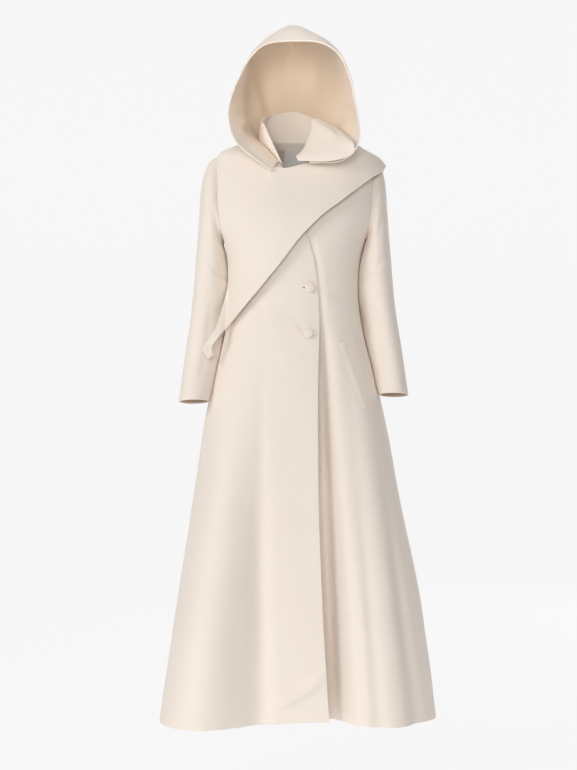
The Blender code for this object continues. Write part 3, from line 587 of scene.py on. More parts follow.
def cubic(t, start, leave, arrive, end):
    """A cubic curve from start to end, drawn by two handles."""
    rest = 1 - t
    return rest ** 3 * start + 3 * t * rest ** 2 * leave + 3 * t * t * rest * arrive + t ** 3 * end


def crease_height(creases, across, down):
    """Adds up creases on a plane: each a bowed line with a rounded ridge or furrow along it.

    The height is depth * exp(-(d / width)^2), d being the distance from the line, and it fades
    out towards both ends of the line.
    """
    height = np.zeros(np.broadcast(across, down).shape)
    for start_a, start_d, end_a, end_d, bow, width, depth in creases:
        run_a = end_a - start_a
        run_d = end_d - start_d
        length = math.hypot(run_a, run_d)
        along = ((across - start_a) * run_a + (down - start_d) * run_d) / length ** 2
        aside = ((across - start_a) * run_d - (down - start_d) * run_a) / length
        inside = np.clip(along, 0.0, 1.0)
        off = aside - bow * 4.0 * inside * (1.0 - inside)
        fade = ease(along / 0.35) * ease((1.0 - along) / 0.35)
        height += depth * np.exp(-(off / width) ** 2) * fade
    return height


def unevenness(across, down, depth, size):
    """A slow waviness of cloth that hangs: five crossed sines of given size, in fixed phases."""
    height = 0.0
    for k, (tilt, phase, share) in enumerate(WAVES):
        pitch = 2 * math.pi / (size * (1.0 + 0.37 * k))
        run = across * math.cos(tilt) + down * math.sin(tilt) * 0.6
        height = height + share * np.sin(pitch * run + phase)
    return depth * height / 3.4


def fold_push(folds, x, z):
    """Adds up how far the folds push the cloth out."""
    push = np.zeros_like(x)
    for top_x, hem_x, top_z, span, depth in folds:
        fallen = np.clip((top_z - z) / (top_z - HEM_Z), 0.0, 1.0)
        middle = top_x + (hem_x - top_x) * fallen
        push += depth * ease(fallen) * bell((x - middle) / (span * (0.35 + 0.65 * fallen)))
    return push


def section_point(turn, z, wider=0.0, folds=(FRONT_FOLDS, BACK_FOLDS), relief=None):
    """A point of the body's section at height z, at a turn from the centre front.

    The section is a superellipse in polar form, r = (|sin/a|^n + |cos/b|^n)^(-1/n), with one b
    before the side seams and another behind them. Folds and relief move it along its outward
    direction, level with the ground.
    """
    centre_x, half_width, front_y, back_y, side_y, power = reads(
        BODY, "centre_x half_width front_y back_y side_y power", z)
    sine = np.sin(np.radians(turn))
    cosine = np.cos(np.radians(turn))
    half_width = half_width + wider
    depth = np.where(cosine >= 0.0, side_y - front_y, back_y - side_y)
    across = np.abs(sine) / half_width
    along = np.abs(cosine) / depth
    radius = (across ** power + along ** power) ** (-1.0 / power)
    x = centre_x + radius * sine
    y = side_y - radius * cosine
    out_x = np.sign(sine) * across ** (power - 1.0) / half_width
    out_y = -np.sign(cosine) * along ** (power - 1.0) / depth
    front = ease((cosine + 0.02) / 0.30)
    back = ease((-cosine + 0.02) / 0.30)
    push = fold_push(folds[0], x, z) * front + fold_push(folds[1], x, z) * back
    if relief is not None:
        push = push + relief(x, z, front, back)
    push = push / np.hypot(out_x, out_y)
    fallen = np.clip((z - HIP_Z) / (HEM_Z - HIP_Z), 0.0, 1.0)
    rise = HEM_RISE * fallen ** 2 * bell((x - HEM_RISE_X) / HEM_RISE_SPAN) * front
    return np.stack([x + push * out_x, y + push * out_y, z + rise], axis=-1)


def plain_surface(turn, z):
    """The outer face of the right front and the back, with the solids' folds alone."""
    return section_point(turn, z)


def below_waist(z):
    """Rises from 0 at the waist to 1 well below it."""
    return ease((WAIST_Z - z) / 0.30)


def neck_fade(z):
    """Lets the finer folds fade out towards the neck and the shoulders."""
    return 1.0 - ease((z + 0.11) / 0.06)


def front_relief(x, z, front, back):
    """The finer folds of the right front and the back."""
    wave = unevenness(x, z, *RIGHT_WAVE) * below_waist(z) + unevenness(x + 3.0, z, *FINE_WAVE)
    ahead = crease_height(FRONT_CREASES, x, z) * front
    behind = crease_height(BACK_CREASES, x, z) * back
    return (ahead + behind + wave) * neck_fade(z)


def right_surface(turn, z):
    """The outer face of the right front and the back, with the finer folds."""
    return section_point(turn, z, relief=front_relief)


def left_relief(x, z, front, back):
    """The finer folds of the left front, and how far it lies in where the right front covers it."""
    wave = unevenness(x + 7.0, z, *LEFT_WAVE) * below_waist(z) + unevenness(x, z, *FINE_WAVE)
    drop = LAP_DROP * ease((read(CLOSING, "right_x", z) + LAP_FADE - x) / LAP_FADE)
    return (crease_height(LEFT_CREASES, x, z) * front + wave) * neck_fade(z) - drop


def left_surface(turn, z):
    """The outer face of the left front."""
    folds = (np.concatenate([FRONT_FOLDS, LEFT_FOLDS]), BACK_FOLDS)
    return section_point(turn, z, folds=folds, relief=left_relief)


def outward(surface, turn, z, step_turn=0.25, step_z=0.0006):
    """The unit normals of a surface of two parameters, from the steps beside each point."""
    by_turn = surface(turn + step_turn, z) - surface(turn - step_turn, z)
    by_z = surface(turn, z + step_z) - surface(turn, z - step_z)
    return unit(np.cross(by_turn, by_z))


def turn_at(surface, x, z, low, high):
    """The turn between two others at which a surface has a given x, one for each height."""
    turns = np.linspace(low, high, SEARCH_STEPS)
    across = surface(*np.meshgrid(turns, z))[..., 0]
    found = []
    for row_x, wanted in zip(across, x):
        order = np.argsort(row_x)
        found.append(np.interp(wanted, row_x[order], turns[order]))
    return np.array(found)


def even_turns(surface, start, end, z, count):
    """Turns from start to end on each row, evenly spaced along the cloth."""
    turns = np.linspace(start, end, LENGTH_STEPS, axis=1)
    points = surface(turns, np.repeat(z[:, None], LENGTH_STEPS, axis=1))
    steps = np.linalg.norm(np.diff(points, axis=1), axis=2)
    length = np.concatenate([np.zeros((len(z), 1)), np.cumsum(steps, axis=1)], axis=1)
    wanted = np.linspace(0.0, 1.0, count)
    return np.array([np.interp(wanted * row[-1], row, at) for row, at in zip(length, turns)])


def armhole_rows():
    """The heights of the rows that end on the armhole, from the shoulder to the underarm."""
    return read(ARMHOLE_DROP, "z", np.linspace(0.0, 8.0, ARMHOLE_STEPS))


def shoulder_rows():
    """The rows from the neck to the shoulder's end, evenly spaced along the shoulder."""
    neck_width = np.interp(NECK_Z, BODY["key"], BODY["half_width"])
    widths = np.linspace(neck_width, SHOULDER_REACH, SHOULDER_ROWS)
    slope = BODY["key"] >= SHOULDER_Z
    rows = np.interp(widths, BODY["half_width"][slope][::-1], BODY["key"][slope][::-1])
    rows[0] = NECK_Z
    return rows[:-1]


def body_rows():
    """The heights of the body's rows, closest over the shoulder and round the armhole."""
    waist = np.linspace(UNDERARM_Z, HIP_Z, WAIST_ROWS)[1:]
    skirt = np.linspace(HIP_Z, HEM_Z, SKIRT_ROWS)[1:]
    return np.concatenate([shoulder_rows(), armhole_rows(), waist, skirt])


def armhole_turns(side, half):
    """The turns at which the rows of the armhole end, on one side, before or behind the seam."""
    z = armhole_rows()
    x = read(BODY, "centre_x", z) + side * read(ARMHOLE, "reach", z)
    limits = (side * 5.0, side * 90.0) if half == "front" else (side * 90.0, side * 175.0)
    turns = turn_at(plain_surface, x, z, *limits)
    turns[0] = turns[-1] = side * SHOULDER_TURN
    return turns


def side_turns(side, half):
    """Each row's outer end: the shoulder seam, then the armhole, then the side seam."""
    turns = np.full(len(body_rows()), side * SHOULDER_TURN)
    first = len(shoulder_rows())
    turns[first:first + ARMHOLE_STEPS] = armhole_turns(side, half)
    return turns


def front_inner_turns(side, surface):
    """The inner end of each row of a front: the neck seam, and below it the closing edge."""
    rows = body_rows()
    half = side * np.linspace(90.0, 16.0, 150)
    heights = read(NECKLINE, "z", half)
    column = "right_x" if side < 0 else "left_x"
    below = turn_at(surface, read(CLOSING, column, rows), rows, -60.0, 60.0)
    return np.where(rows > V_TIP_Z, np.interp(-rows, -heights, half), below)


def unit(vectors):
    """The vectors at length 1."""
    return vectors / np.maximum(np.linalg.norm(vectors, axis=-1, keepdims=True), 1e-12)


def grid_normals(points, closed=False, inside=None):
    """Unit normals of a grid of points, from the steps to the neighbours on both sides.

    Where inside gives places, the normals are turned to point away from them on the whole.
    """
    if closed:
        by_column = np.roll(points, -1, axis=1) - np.roll(points, 1, axis=1)
    else:
        by_column = np.gradient(points, axis=1)
    normals = unit(np.cross(by_column, np.gradient(points, axis=0)))
    if inside is not None:
        normals *= np.sign(np.einsum("ijk,ijk->", normals, points - inside))
    return normals


def grid_quads(rows, columns, around=False, along=False):
    """The four-sided faces of a grid of points, which may close round its columns or rows."""
    grid = np.arange(rows * columns).reshape(rows, columns)
    if around:
        grid = np.concatenate([grid, grid[:, :1]], axis=1)
    if along:
        grid = np.concatenate([grid, grid[:1]])
    corners = (grid[:-1, :-1], grid[:-1, 1:], grid[1:, 1:], grid[1:, :-1])
    return np.stack(corners, axis=-1).reshape(-1, 4)


def make_mesh(name, points, quads, reverse_and_shade=None):
    """An object at the origin from points and four-sided faces that are turned to face out.

    The last argument, from 0 to 1, tells the points of the cloth's wrong side from the others;
    the same mask carries painted shade, deep inside the hood and on the strip in a buttonhole's
    slit.
    """
    corners = points[quads]
    fan = np.cross(corners[:, 1] - corners[:, 0], corners[:, 2] - corners[:, 0])
    fan += np.cross(corners[:, 2] - corners[:, 0], corners[:, 3] - corners[:, 0])
    if np.einsum("ij,ij->", corners.mean(axis=1) - points.mean(axis=0), fan) < 0.0:
        quads = quads[:, ::-1]
    mesh = bpy.data.meshes.new(name)
    mesh.vertices.add(len(points))
    mesh.vertices.foreach_set("co", points.astype(np.float32).ravel())
    mesh.loops.add(quads.size)
    mesh.loops.foreach_set("vertex_index", quads.astype(np.int32).ravel())
    mesh.polygons.add(len(quads))
    mesh.polygons.foreach_set("loop_start", np.arange(0, quads.size, 4, dtype=np.int32))
    mesh.polygons.foreach_set("use_smooth", np.ones(len(quads), dtype=bool))
    mesh.update(calc_edges=True)
    if reverse_and_shade is not None:
        side = mesh.attributes.new("reverse_and_shade", "FLOAT", "POINT")
        side.data.foreach_set("value", reverse_and_shade.astype(np.float32))
    piece = bpy.data.objects.new(name, mesh)
    bpy.context.scene.collection.objects.link(piece)
    return piece


def round_rim(middle, normal, side, thick, radius):
    """Rings that round a cloth's edge off: quarter circles of a radius, from face to face."""
    rings = []
    for angle in np.radians((30.0, 60.0, 90.0, 120.0, 150.0)):
        flat = np.sign(round(math.cos(angle), 6)) * (thick / 2 - radius)
        up = flat + radius * math.cos(angle)
        rings.append(middle + normal * up + side * (radius * math.sin(angle)))
    return rings


def cloth(name, outer, normals, thick=CLOTH, rounds=(EDGE_ROUND,) * 4, closed=False, turned=1.0):
    """A cloth as a closed body: its outer face, its inner face, and rims rounded off between.

    rounds gives the radius at the top, the bottom, the first and the last column. Where columns
    close into a tube, only the top and bottom have rims. turned gives, from 0 to 1, how much of
    the tint of the wrong side each row of the inner face has. That tint is partly the wrong
    side's own tone and partly painted shade, where the hood's inner face darkens into its depths.
    """
    rows, columns = outer.shape[:2]
    count = rows * columns
    thick = np.broadcast_to(np.asarray(thick, dtype=float), (rows, columns))
    inner = outer - normals * thick[..., None]
    aside = np.zeros_like(outer)
    aside[0] += outer[0] - outer[1]
    aside[-1] += outer[-1] - outer[-2]
    radius = np.ones((rows, columns))
    grid = np.arange(count).reshape(rows, columns)
    if closed:
        loops = [grid[0], grid[-1][::-1]]
    else:
        loops = [np.concatenate([grid[0, :-1], grid[:-1, -1], grid[-1, :0:-1], grid[:0:-1, 0]])]
        aside[:, 0] += outer[:, 0] - outer[:, 1]
        aside[:, -1] += outer[:, -1] - outer[:, -2]
        radius[:, 0] = rounds[2]
        radius[:, -1] = rounds[3]
    radius[0] = np.minimum(radius[0], rounds[0])
    radius[-1] = np.minimum(radius[-1], rounds[1])
    radius = np.minimum(radius, thick / 2 - 1e-5)
    face = grid_quads(rows, columns, around=closed)
    points = [outer.reshape(-1, 3), inner.reshape(-1, 3)]
    quads = [face, face[:, ::-1] + count]
    fields = ((outer + inner) / 2, normals, aside, thick, radius)
    fields = [field.reshape(count, -1) for field in fields]
    next_free = 2 * count
    for loop in loops:
        middle, normal, side, across, rim = (field[loop] for field in fields)
        side = unit(side - normal * np.einsum("ij,ij->i", side, normal)[:, None])
        rings = round_rim(middle, normal, side, across, rim)
        points += rings
        starts = next_free + len(loop) * np.arange(len(rings))
        chain = [loop] + [start + np.arange(len(loop)) for start in starts] + [loop + count]
        next_free += len(loop) * len(rings)
        for last, fresh in zip(chain, chain[1:]):
            quads.append(np.stack([fresh, np.roll(fresh, -1), np.roll(last, -1), last], axis=1))
    points = np.concatenate(points)
    reverse_and_shade = np.zeros(len(points))
    reverse_and_shade[count:2 * count] = np.broadcast_to(turned, (rows, columns)).ravel()
    return make_mesh(name, points, np.concatenate(quads), reverse_and_shade)


def edge_share(count, reach):
    """How near each of a row of steps is to its end, 1 at the end and 0 from reach on."""
    return ease(1.0 - np.arange(count)[::-1] / reach)


def panel(name, surface, start, end, z, columns, rounds, thick=CLOTH):
    """A body panel between two turns on each row."""
    turns = even_turns(surface, start, end, z, columns)
    heights = np.repeat(z[:, None], columns, axis=1)
    return cloth(name, surface(turns, heights), outward(surface, turns, heights), thick, rounds)


def build_body():
    """The two fronts and the two halves of the back."""
    rows = body_rows()
    seam = SEAM_ROUND
    edge = EDGE_ROUND
    hem = CLOTH + HEM_THICKER * edge_share(len(rows), HEM_STEPS)[:, None]
    closing = CLOSING_THICKER * edge_share(FRONT_COLUMNS, CLOSING_STEPS)
    right_inner = front_inner_turns(-1, plain_surface)
    left_inner = front_inner_turns(1, left_surface)
    pieces = {
        "front_right": panel("cut_front_right", right_surface, side_turns(-1, "front"), right_inner,
                             rows, FRONT_COLUMNS, (seam, edge, seam, edge), hem + closing),
        "front_left": panel("cut_front_left", left_surface, left_inner, side_turns(1, "front"),
                            rows, FRONT_COLUMNS, (seam, edge, edge, seam), hem),
    }
    for name, side in (("back_right", -1), ("back_left", 1)):
        middle = np.full(len(rows), side * BACK_TURN)
        pieces[name] = panel("cut_" + name, right_surface, side_turns(side, "back"), middle, rows,
                             BACK_COLUMNS, (seam, edge, seam, seam), hem)
    return pieces


def armhole_ring(side):
    """The armhole's edge as a ring: down its front from the shoulder, and up its back."""
    z = armhole_rows()
    front = plain_surface(armhole_turns(side, "front"), z)
    back = plain_surface(armhole_turns(side, "back"), z)
    return np.concatenate([front, back[-2:0:-1]])


def body_reach(side, y, z):
    """How far the body's plain section reaches to a side at a depth and a height."""
    centre_x, half_width, front_y, back_y, side_y, power = reads(
        BODY, "centre_x half_width front_y back_y side_y power", z)
    depth = np.where(y < side_y, side_y - front_y, back_y - side_y)
    share = np.clip(np.abs(y - side_y) / depth, 0.0, 1.0)
    return side * centre_x + half_width * (1.0 - share ** power) ** (1.0 / power)


def sleeve_ring(side, row, angle):
    """Sections of a sleeve: ovals that lean from their outer to their inner edge."""
    outer_x, outer_z, inner_x, inner_z, front_y, back_y, tilt = reads(
        SLEEVE, "outer_x outer_z inner_x inner_z front_y back_y tilt", row)
    swing = 0.5 + 0.5 * np.cos(angle)
    x = inner_x + (outer_x - inner_x) * swing
    y = 0.5 * (front_y + back_y) - 0.5 * (back_y - front_y) * np.sin(angle)
    z = inner_z + (outer_z - inner_z) * swing + tilt * np.sin(angle)
    if side < 0:
        z = z - SLEEVE_RIGHT_LONGER * ease((WAIST_Z - z) / 0.34)
    inner = 1.0 - swing
    x = x - read(SLEEVE_HUG, "right" if side < 0 else "left", row) * inner ** 1.5
    y = y - read(SLEEVE_HUG, "forward", row) * inner ** 2
    x = np.maximum(x, body_reach(side, y, z) + SLEEVE_CLEAR)
    return np.stack([side * x, y, z], axis=-1)


def build_sleeve(name, side, creases):
    """A sleeve: its head rolls out of the armhole and the arm hangs from it in open sections."""
    start = armhole_ring(side)
    angle = np.linspace(0.0, 2 * math.pi, len(start), endpoint=False)
    swing = 0.5 + 0.5 * np.cos(angle)
    first = sleeve_ring(side, 1.0, angle)
    leave = np.stack([side * (0.006 + 0.020 * swing), -0.010 * np.sin(angle),
                      -0.010 + 0.006 * swing], axis=-1)
    arrive = np.stack([side * -0.003 * swing, 0.0 * swing, 0.010 + 0.040 * swing], axis=-1)
    shares = np.linspace(0.0, 1.0, SLEEVE_HEAD_ROWS)[:-1, None]
    rows = np.linspace(1.0, 8.0, SLEEVE_ROWS)[:, None]
    head = cubic(shares[..., None], start, start + leave, first + arrive, first)
    points = np.concatenate([head, sleeve_ring(side, rows, angle[None, :])])
    middle = points.mean(axis=1, keepdims=True)
    level = np.concatenate([shares, rows])
    around = np.degrees(angle)[None, :]
    height = crease_height(creases, around / 100.0, level / 4.0)
    height = height + unevenness(around / 400.0, level / 12.0, *SLEEVE_WAVE)
    height = height * ease((level - 0.25) / 0.8) * ease((8.05 - level) / 0.3)
    points = points + grid_normals(points, True, middle) * height[..., None]
    normals = grid_normals(points, True, middle)
    normals[0, :, 0] = 0.0
    normals[0] = unit(normals[0])
    thick = CLOTH + HEM_THICKER * edge_share(len(points), CUFF_STEPS)[:, None]
    return cloth(name, points, normals, thick, (SEAM_ROUND, EDGE_ROUND, 0.0, 0.0), closed=True)


def neck_outline():
    """The neck's edge, as turns from back to back and the heights there."""
    rows = body_rows()
    on_neck = rows > V_TIP_Z
    inner = front_inner_turns(1, plain_surface)
    back = np.linspace(SHOULDER_TURN, BACK_TURN, 60)
    turns = np.concatenate([[V_TIP_TURN], inner[on_neck][::-1], back[1:]])
    heights = np.concatenate([[V_TIP_Z], rows[on_neck][::-1], np.full(len(back) - 1, NECK_Z)])
    order = np.argsort(turns)
    turns, heights = turns[order], heights[order]
    return np.concatenate([-turns[::-1], turns]), np.concatenate([heights[::-1], heights])


def neck_edge(turn, layer):
    """The middle of a cloth sewn on at the neck's edge, layer 0 next to the body, 1 inside it."""
    turn = np.asarray(turn, dtype=float)
    wrapped = np.where(turn < -180.0, turn + 360.0, turn)
    edge_turns, edge_z = NECK_OUTLINE
    edge = plain_surface(edge_turns, edge_z)

    def on_edge(at):
        return np.stack([np.interp(at, edge_turns, edge[:, k]) for k in range(3)], axis=-1)

    normal = outward(plain_surface, wrapped, np.interp(wrapped, edge_turns, edge_z))
    leave = unit(np.cross(on_edge(wrapped + 2.0) - on_edge(wrapped - 2.0), normal))
    leave *= np.sign(leave[..., 2:3])
    away = CLOTH / 2 + NECK_GAP + layer * (CLOTH + NECK_GAP)
    rise = NECK_RISE - layer * CLOTH
    return on_edge(wrapped) + normal * rise + leave * away


def hood_surface(rib, t):
    """The middle of the hood's cloth: a cubic curve on each rib, from the rim to the neck."""
    rim = triple(HOOD, "rim", rib)
    base = neck_edge(read(HOOD, "base_turn", rib), 0)
    leave = rim + triple(HOOD, "front", rib)
    arrive = base + triple(HOOD, "back", rib)
    return cubic(np.asarray(t)[..., None], rim, leave, arrive, base)


def collar_surface(rib, t):
    """The middle of the collar's cloth: a parabola on each rib from the neck, by its roll."""
    t = np.asarray(t)[..., None]
    base = neck_edge(read(COLLAR, "base_turn", rib), 1)
    roll = triple(COLLAR, "roll", rib)
    edge = triple(COLLAR, "edge", rib)
    pull = 2.0 * roll - 0.5 * (base + edge)
    return (1 - t) ** 2 * base + 2 * t * (1 - t) * pull + t * t * edge


def ribbed_cloth(name, surface, ribs, steps, creases, rounds, thick, wave, aside=0.0,
                 turned=1.0):
    """A cloth on ribs, half of it on each side of the surface, with its creases."""
    grid_t, grid_ribs = np.broadcast_arrays(steps[:, None], ribs[None, :])
    normals = outward(surface, grid_ribs, grid_t, RIB_STEP, 0.004)
    height = crease_height(creases, grid_ribs / 10.0, grid_t)
    height = height + unevenness(grid_ribs / 12.0, grid_t / 3.0, *wave)
    height = height * ease((1.0 - grid_t) / 0.15) * ease((grid_t + 0.02) / 0.10)
    points = surface(grid_ribs, grid_t) + normals * height[..., None]
    across = grid_normals(points)
    across *= np.sign(np.einsum("ijk,ijk->ij", across, normals))[..., None]
    points = points + across * CLOTH / 2
    points[..., 0] += aside
    return cloth(name, points, across, thick, rounds, turned=turned)


def build_hood():
    """The two halves of the hood."""
    steps = np.linspace(0.0, 1.0, HOOD_ROWS) ** 1.15
    thick = CLOTH + HOOD_THICKER * ease(1.0 - steps / HOOD_RIM_SHARE)[:, None]
    # the inner face keeps the face's tint by the rim, as a facing would, and takes more of the
    # darker wrong-side tint deeper in, which is painted shade of the hood's depths
    turned = ease((steps - 0.10) / 0.55)[:, None]
    seam = SEAM_ROUND
    edge = EDGE_ROUND
    pieces = {}
    for name, low, high, aside, rounds in (
            ("hood_right", 0.0, HOOD_MIDDLE, -HALF_SEAM, (edge, seam, edge, seam)),
            ("hood_left", HOOD_MIDDLE, HOOD_END, HALF_SEAM, (edge, seam, seam, edge))):
        ribs = np.linspace(low, high, HOOD_COLUMNS)
        pieces[name] = ribbed_cloth("shaped_" + name, hood_surface, ribs, steps, HOOD_CREASES,
                                    rounds, thick, HOOD_WAVE, aside, turned)
    return pieces


def build_collar():
    """The collar that stands inside the hood and rolls over on the wearer's left."""
    ribs = np.linspace(0.0, COLLAR_END, COLLAR_COLUMNS)
    steps = np.linspace(0.0, 1.0, COLLAR_ROWS)
    rounds = (SEAM_ROUND, EDGE_ROUND, EDGE_ROUND, EDGE_ROUND)
    thick = CLOTH + COLLAR_THICKER * ease(1.0 - (1.0 - steps) / COLLAR_RIM_SHARE)[:, None]
    return ribbed_cloth("rolled_collar", collar_surface, ribs, steps, COLLAR_CREASES, rounds,
                        thick, COLLAR_WAVE)


def drape_base(turn, z):
    """The face that the draped panel lies on: the body, wider over the left shoulder."""
    wider = read(DRAPE_SPREAD, "wider", z) * ease(np.sin(np.radians(turn)) * 2.0)
    return section_point(turn, z, wider, folds=((), ()))


def drape_grid():
    """The draped panel's outer face: ribs laid over the body, and then its free tail."""
    ribs = np.linspace(0.0, DRAPE_LAST, DRAPE_RIBS)
    top_turn, top_z, low_z, lift, low_lift, bow = reads(
        DRAPE, "top_turn top_z low_z lift low_lift bow", ribs)
    low_turn = np.interp(ribs, DRAPE["rib"], DRAPE["low_turn"])
    low_x = np.interp(ribs, DRAPE["rib"], DRAPE["low_x"])
    on_front = ribs >= DRAPE_CORNER + 1.0
    first = np.argmax(on_front)
    for line in (low_x, low_z):
        for _ in range(EDGE_SMOOTHING):
            beside = line[first:-2] + line[first + 2:]
            line[first + 1:-1] = 0.5 * line[first + 1:-1] + 0.25 * beside

    def over(turn, z):
        return drape_base(turn, z) + outward(drape_base, turn, z) * low_lift[on_front, None, None]

    low_turn[on_front] = turn_at(over, low_x[on_front], low_z[on_front], -89.0, 89.0)
    between = (ribs > DRAPE_CORNER) & (ribs < DRAPE_CORNER + 1.0)
    last = low_turn[on_front][0]
    low_turn[between] = SHOULDER_TURN + (last - SHOULDER_TURN) * (ribs[between] - DRAPE_CORNER)
    t = np.linspace(0.0, 1.0, DRAPE_COLUMNS)
    turns = top_turn[:, None] + (low_turn - top_turn)[:, None] * t
    heights = top_z[:, None] + (low_z - top_z)[:, None] * t + bow[:, None] * 4.0 * t * (1 - t)
    lift = lift[:, None] * (1 - t) + low_lift[:, None] * t ** 2
    lift = np.maximum(lift, DRAPE_LEAST_LIFT) + CLOTH
    on_body = drape_base(turns, heights) + outward(drape_base, turns, heights) * lift[..., None]

    rows = np.linspace(0.0, 8.0, TAIL_ROWS)
    left = triple(TAIL, "left", rows)[:, None]
    right = triple(TAIL, "right", rows)[:, None]
    tail = left * (1 - t[:, None]) + right * t[:, None]
    points = np.concatenate([on_body, tail[1:]])
    start = len(on_body) - TAIL_BEFORE
    end = len(on_body) + TAIL_AFTER
    for _ in range(TAIL_BLEND):
        beside = points[start - 1:end - 1] + points[start + 1:end + 1]
        points[start:end] = 0.5 * points[start:end] + 0.25 * beside
    return points


def build_drape():
    """The draped panel, with the folds that run with its lower edge."""
    points = drape_grid()
    x, y, z = np.moveaxis(points, -1, 0)
    rows, columns = x.shape
    along = np.arange(rows)[:, None] / rows
    across = np.linspace(0.0, 1.0, columns)[None, :]
    height = crease_height(DRAPE_CREASES, x, z) * ease((0.02 - y) / 0.05)
    height = height + unevenness(x, z, *DRAPE_WAVE)
    height = height * ease((across + 0.02) / 0.10) * ease((1.02 - along) / 0.12)
    points = points + grid_normals(points, inside=DRAPE_INSIDE) * height[..., None]
    thick = CLOTH + DRAPE_THICKER * ease(1.0 - (1.0 - across) / DRAPE_RIM_SHARE)
    return cloth("draped_panel", points, grid_normals(points, inside=DRAPE_INSIDE), thick)


def build_pocket():
    """The welt: a slanted strip laid on the left front, which gapes a little at its ends."""
    along = np.linspace(0.0, 1.0, POCKET_ROWS)[:, None]
    share = np.linspace(0.0, 1.0, POCKET_COLUMNS)[None, :]
    across = (share - 0.5) * POCKET_WIDTH
    run_x, run_z = np.subtract(POCKET_BOTTOM, POCKET_TOP)
    length = math.hypot(run_x, run_z)
    x = POCKET_TOP[0] + run_x * along - across * run_z / length
    z = POCKET_TOP[1] + run_z * along + across * run_x / length
    turns = turn_at(left_surface, x.ravel(), z.ravel(), -10.0, 89.0).reshape(x.shape)
    top = np.clip(1.0 - along / 0.10, 0.0, 1.0)
    bottom = np.clip(along / 0.08 - 11.5, 0.0, 1.0)
    gape = POCKET_GAPE * (top ** 2 + 0.6 * bottom ** 2) * (0.2 + 0.8 * share)
    normals = outward(left_surface, turns, z)
    thick = POCKET_THICK * (0.45 + 0.55 * ease(share / 0.5))
    outer = left_surface(turns, z) + normals * (POCKET_CLEAR + gape + thick)[..., None]
    return cloth("pocket_edge", outer, normals, thick, (POCKET_THICK / 2,) * 4)


def build_neck_inside():
    """The facing inside the back of the neck and the bare label that hangs below it."""
    pieces = []
    facing_in = CLOTH + FACING_CLEAR + TRIM_THICK
    label_in = facing_in + LABEL_CLEAR + TRIM_THICK
    for name, depth, half_turn, top_z, length, rows, columns in (
            ("neck_tape_strip", facing_in, FACING_HALF_TURN, FACING_TOP_Z, FACING_DEPTH, 14, 80),
            ("bare_label", label_in, LABEL_HALF_TURN, LABEL_TOP_Z, LABEL_DEPTH, 36, 40)):
        turns, heights = np.meshgrid(
            np.linspace(BACK_TURN - half_turn, BACK_TURN + half_turn, columns),
            np.linspace(top_z, top_z - length, rows))

        def inside(turn, z, depth=depth):
            return plain_surface(turn, z) - outward(plain_surface, turn, z) * depth

        normals = outward(inside, turns, heights)
        outer = inside(turns, heights) + normals * TRIM_THICK
        pieces.append(cloth(name, outer, normals, TRIM_THICK, (TRIM_ROUND,) * 4))
    return pieces


def build_button(name, x, height):
    """A covered button: a profile turned round the cloth's normal, gathered in below its rim."""
    z = np.array([height])
    turn = turn_at(plain_surface, np.array([x]), z, -60.0, 60.0)
    centre = plain_surface(turn, z)[0]
    normal = outward(plain_surface, turn, z)[0]
    across = unit(np.cross(normal, np.array([0.0, 0.0, 1.0])))
    upward = np.cross(across, normal)
    around = np.linspace(0.0, 2 * math.pi, BUTTON_COLUMNS, endpoint=False)
    share = np.linspace(0.0, 1.0, BUTTON_ROWS)
    keys = np.linspace(0.0, 1.0, len(BUTTON_PROFILE["out"]))
    reach, rise = (np.interp(share, keys, BUTTON_PROFILE[way])[:, None] for way in ("out", "up"))
    for line in (reach, rise):
        for _ in range(3):
            line[1:-1] = 0.5 * line[1:-1] + 0.25 * (line[:-2] + line[2:])
    pleat = 1.0 - 0.012 * (0.5 + 0.5 * np.cos(12 * around)) * bell((rise - 0.30) / 0.25)
    ring = np.cos(around)[:, None] * across + np.sin(around)[:, None] * upward
    points = (centre + normal * (BUTTON_CLEAR + BUTTON_HEIGHT * rise)[..., None]
              + ring * (BUTTON_RADIUS * reach * pleat)[..., None])
    quads = grid_quads(*points.shape[:2], around=True)
    return make_mesh(name, points.reshape(-1, 3), quads)


def build_buttonhole(name, x, height, start):
    """The worked edge of a buttonhole: a ring of thread, x + a * sign(cos) * |cos|^0.5 across.

    The thread swells and narrows once a stitch, r = thread * (1 + 0.22 * sin(stitches * angle)),
    and a strip along the middle closes the slit; the strip is painted dark as shade in the slit.
    """
    around = np.linspace(0.0, 2 * math.pi, HOLE_STEPS, endpoint=False)
    reach = np.sign(np.cos(around)) * np.abs(np.cos(around)) ** 0.5
    path_x = x + (HOLE_END + start) / 2 + (HOLE_END - start) / 2 * reach
    path_z = height + HOLE_HALF * np.sin(around)
    turns = turn_at(right_surface, path_x, path_z, -60.0, 60.0)
    path = right_surface(turns, path_z)
    normal = outward(right_surface, turns, path_z)
    run = unit(np.roll(path, -1, axis=0) - np.roll(path, 1, axis=0))
    side = unit(np.cross(run, normal))
    thread = HOLE_THREAD * (1.0 + 0.22 * np.sin(HOLE_STITCHES * around))[:, None, None]
    section = np.linspace(0.0, 2 * math.pi, THREAD_STEPS, endpoint=False)[:, None]
    offset = np.cos(section) * side[:, None] + np.sin(section) * normal[:, None]
    points = (path + normal * HOLE_THREAD * 0.55)[:, None, :] + offset * thread
    count = points.shape[0] * points.shape[1]
    ring = grid_quads(*points.shape[:2], around=True, along=True)
    upper = np.arange(1, HOLE_STEPS // 2)
    lower = HOLE_STEPS - upper
    slit = np.stack([upper[:-1], upper[1:], lower[1:], lower[:-1]], axis=-1) + count
    points = np.concatenate([points.reshape(-1, 3), path + normal * 0.00012])
    # painted shade: the slit's strip is marked to take the thread material's dark colour
    reverse_and_shade = (np.arange(len(points)) >= count).astype(float)
    return make_mesh(name, points, np.concatenate([ring, slit]), reverse_and_shade)


def fill(sockets, **values):
    """Sets the values of named inputs, with an underscore in the name for each blank."""
    for key, value in values.items():
        sockets[key.replace("_", " ")].default_value = value


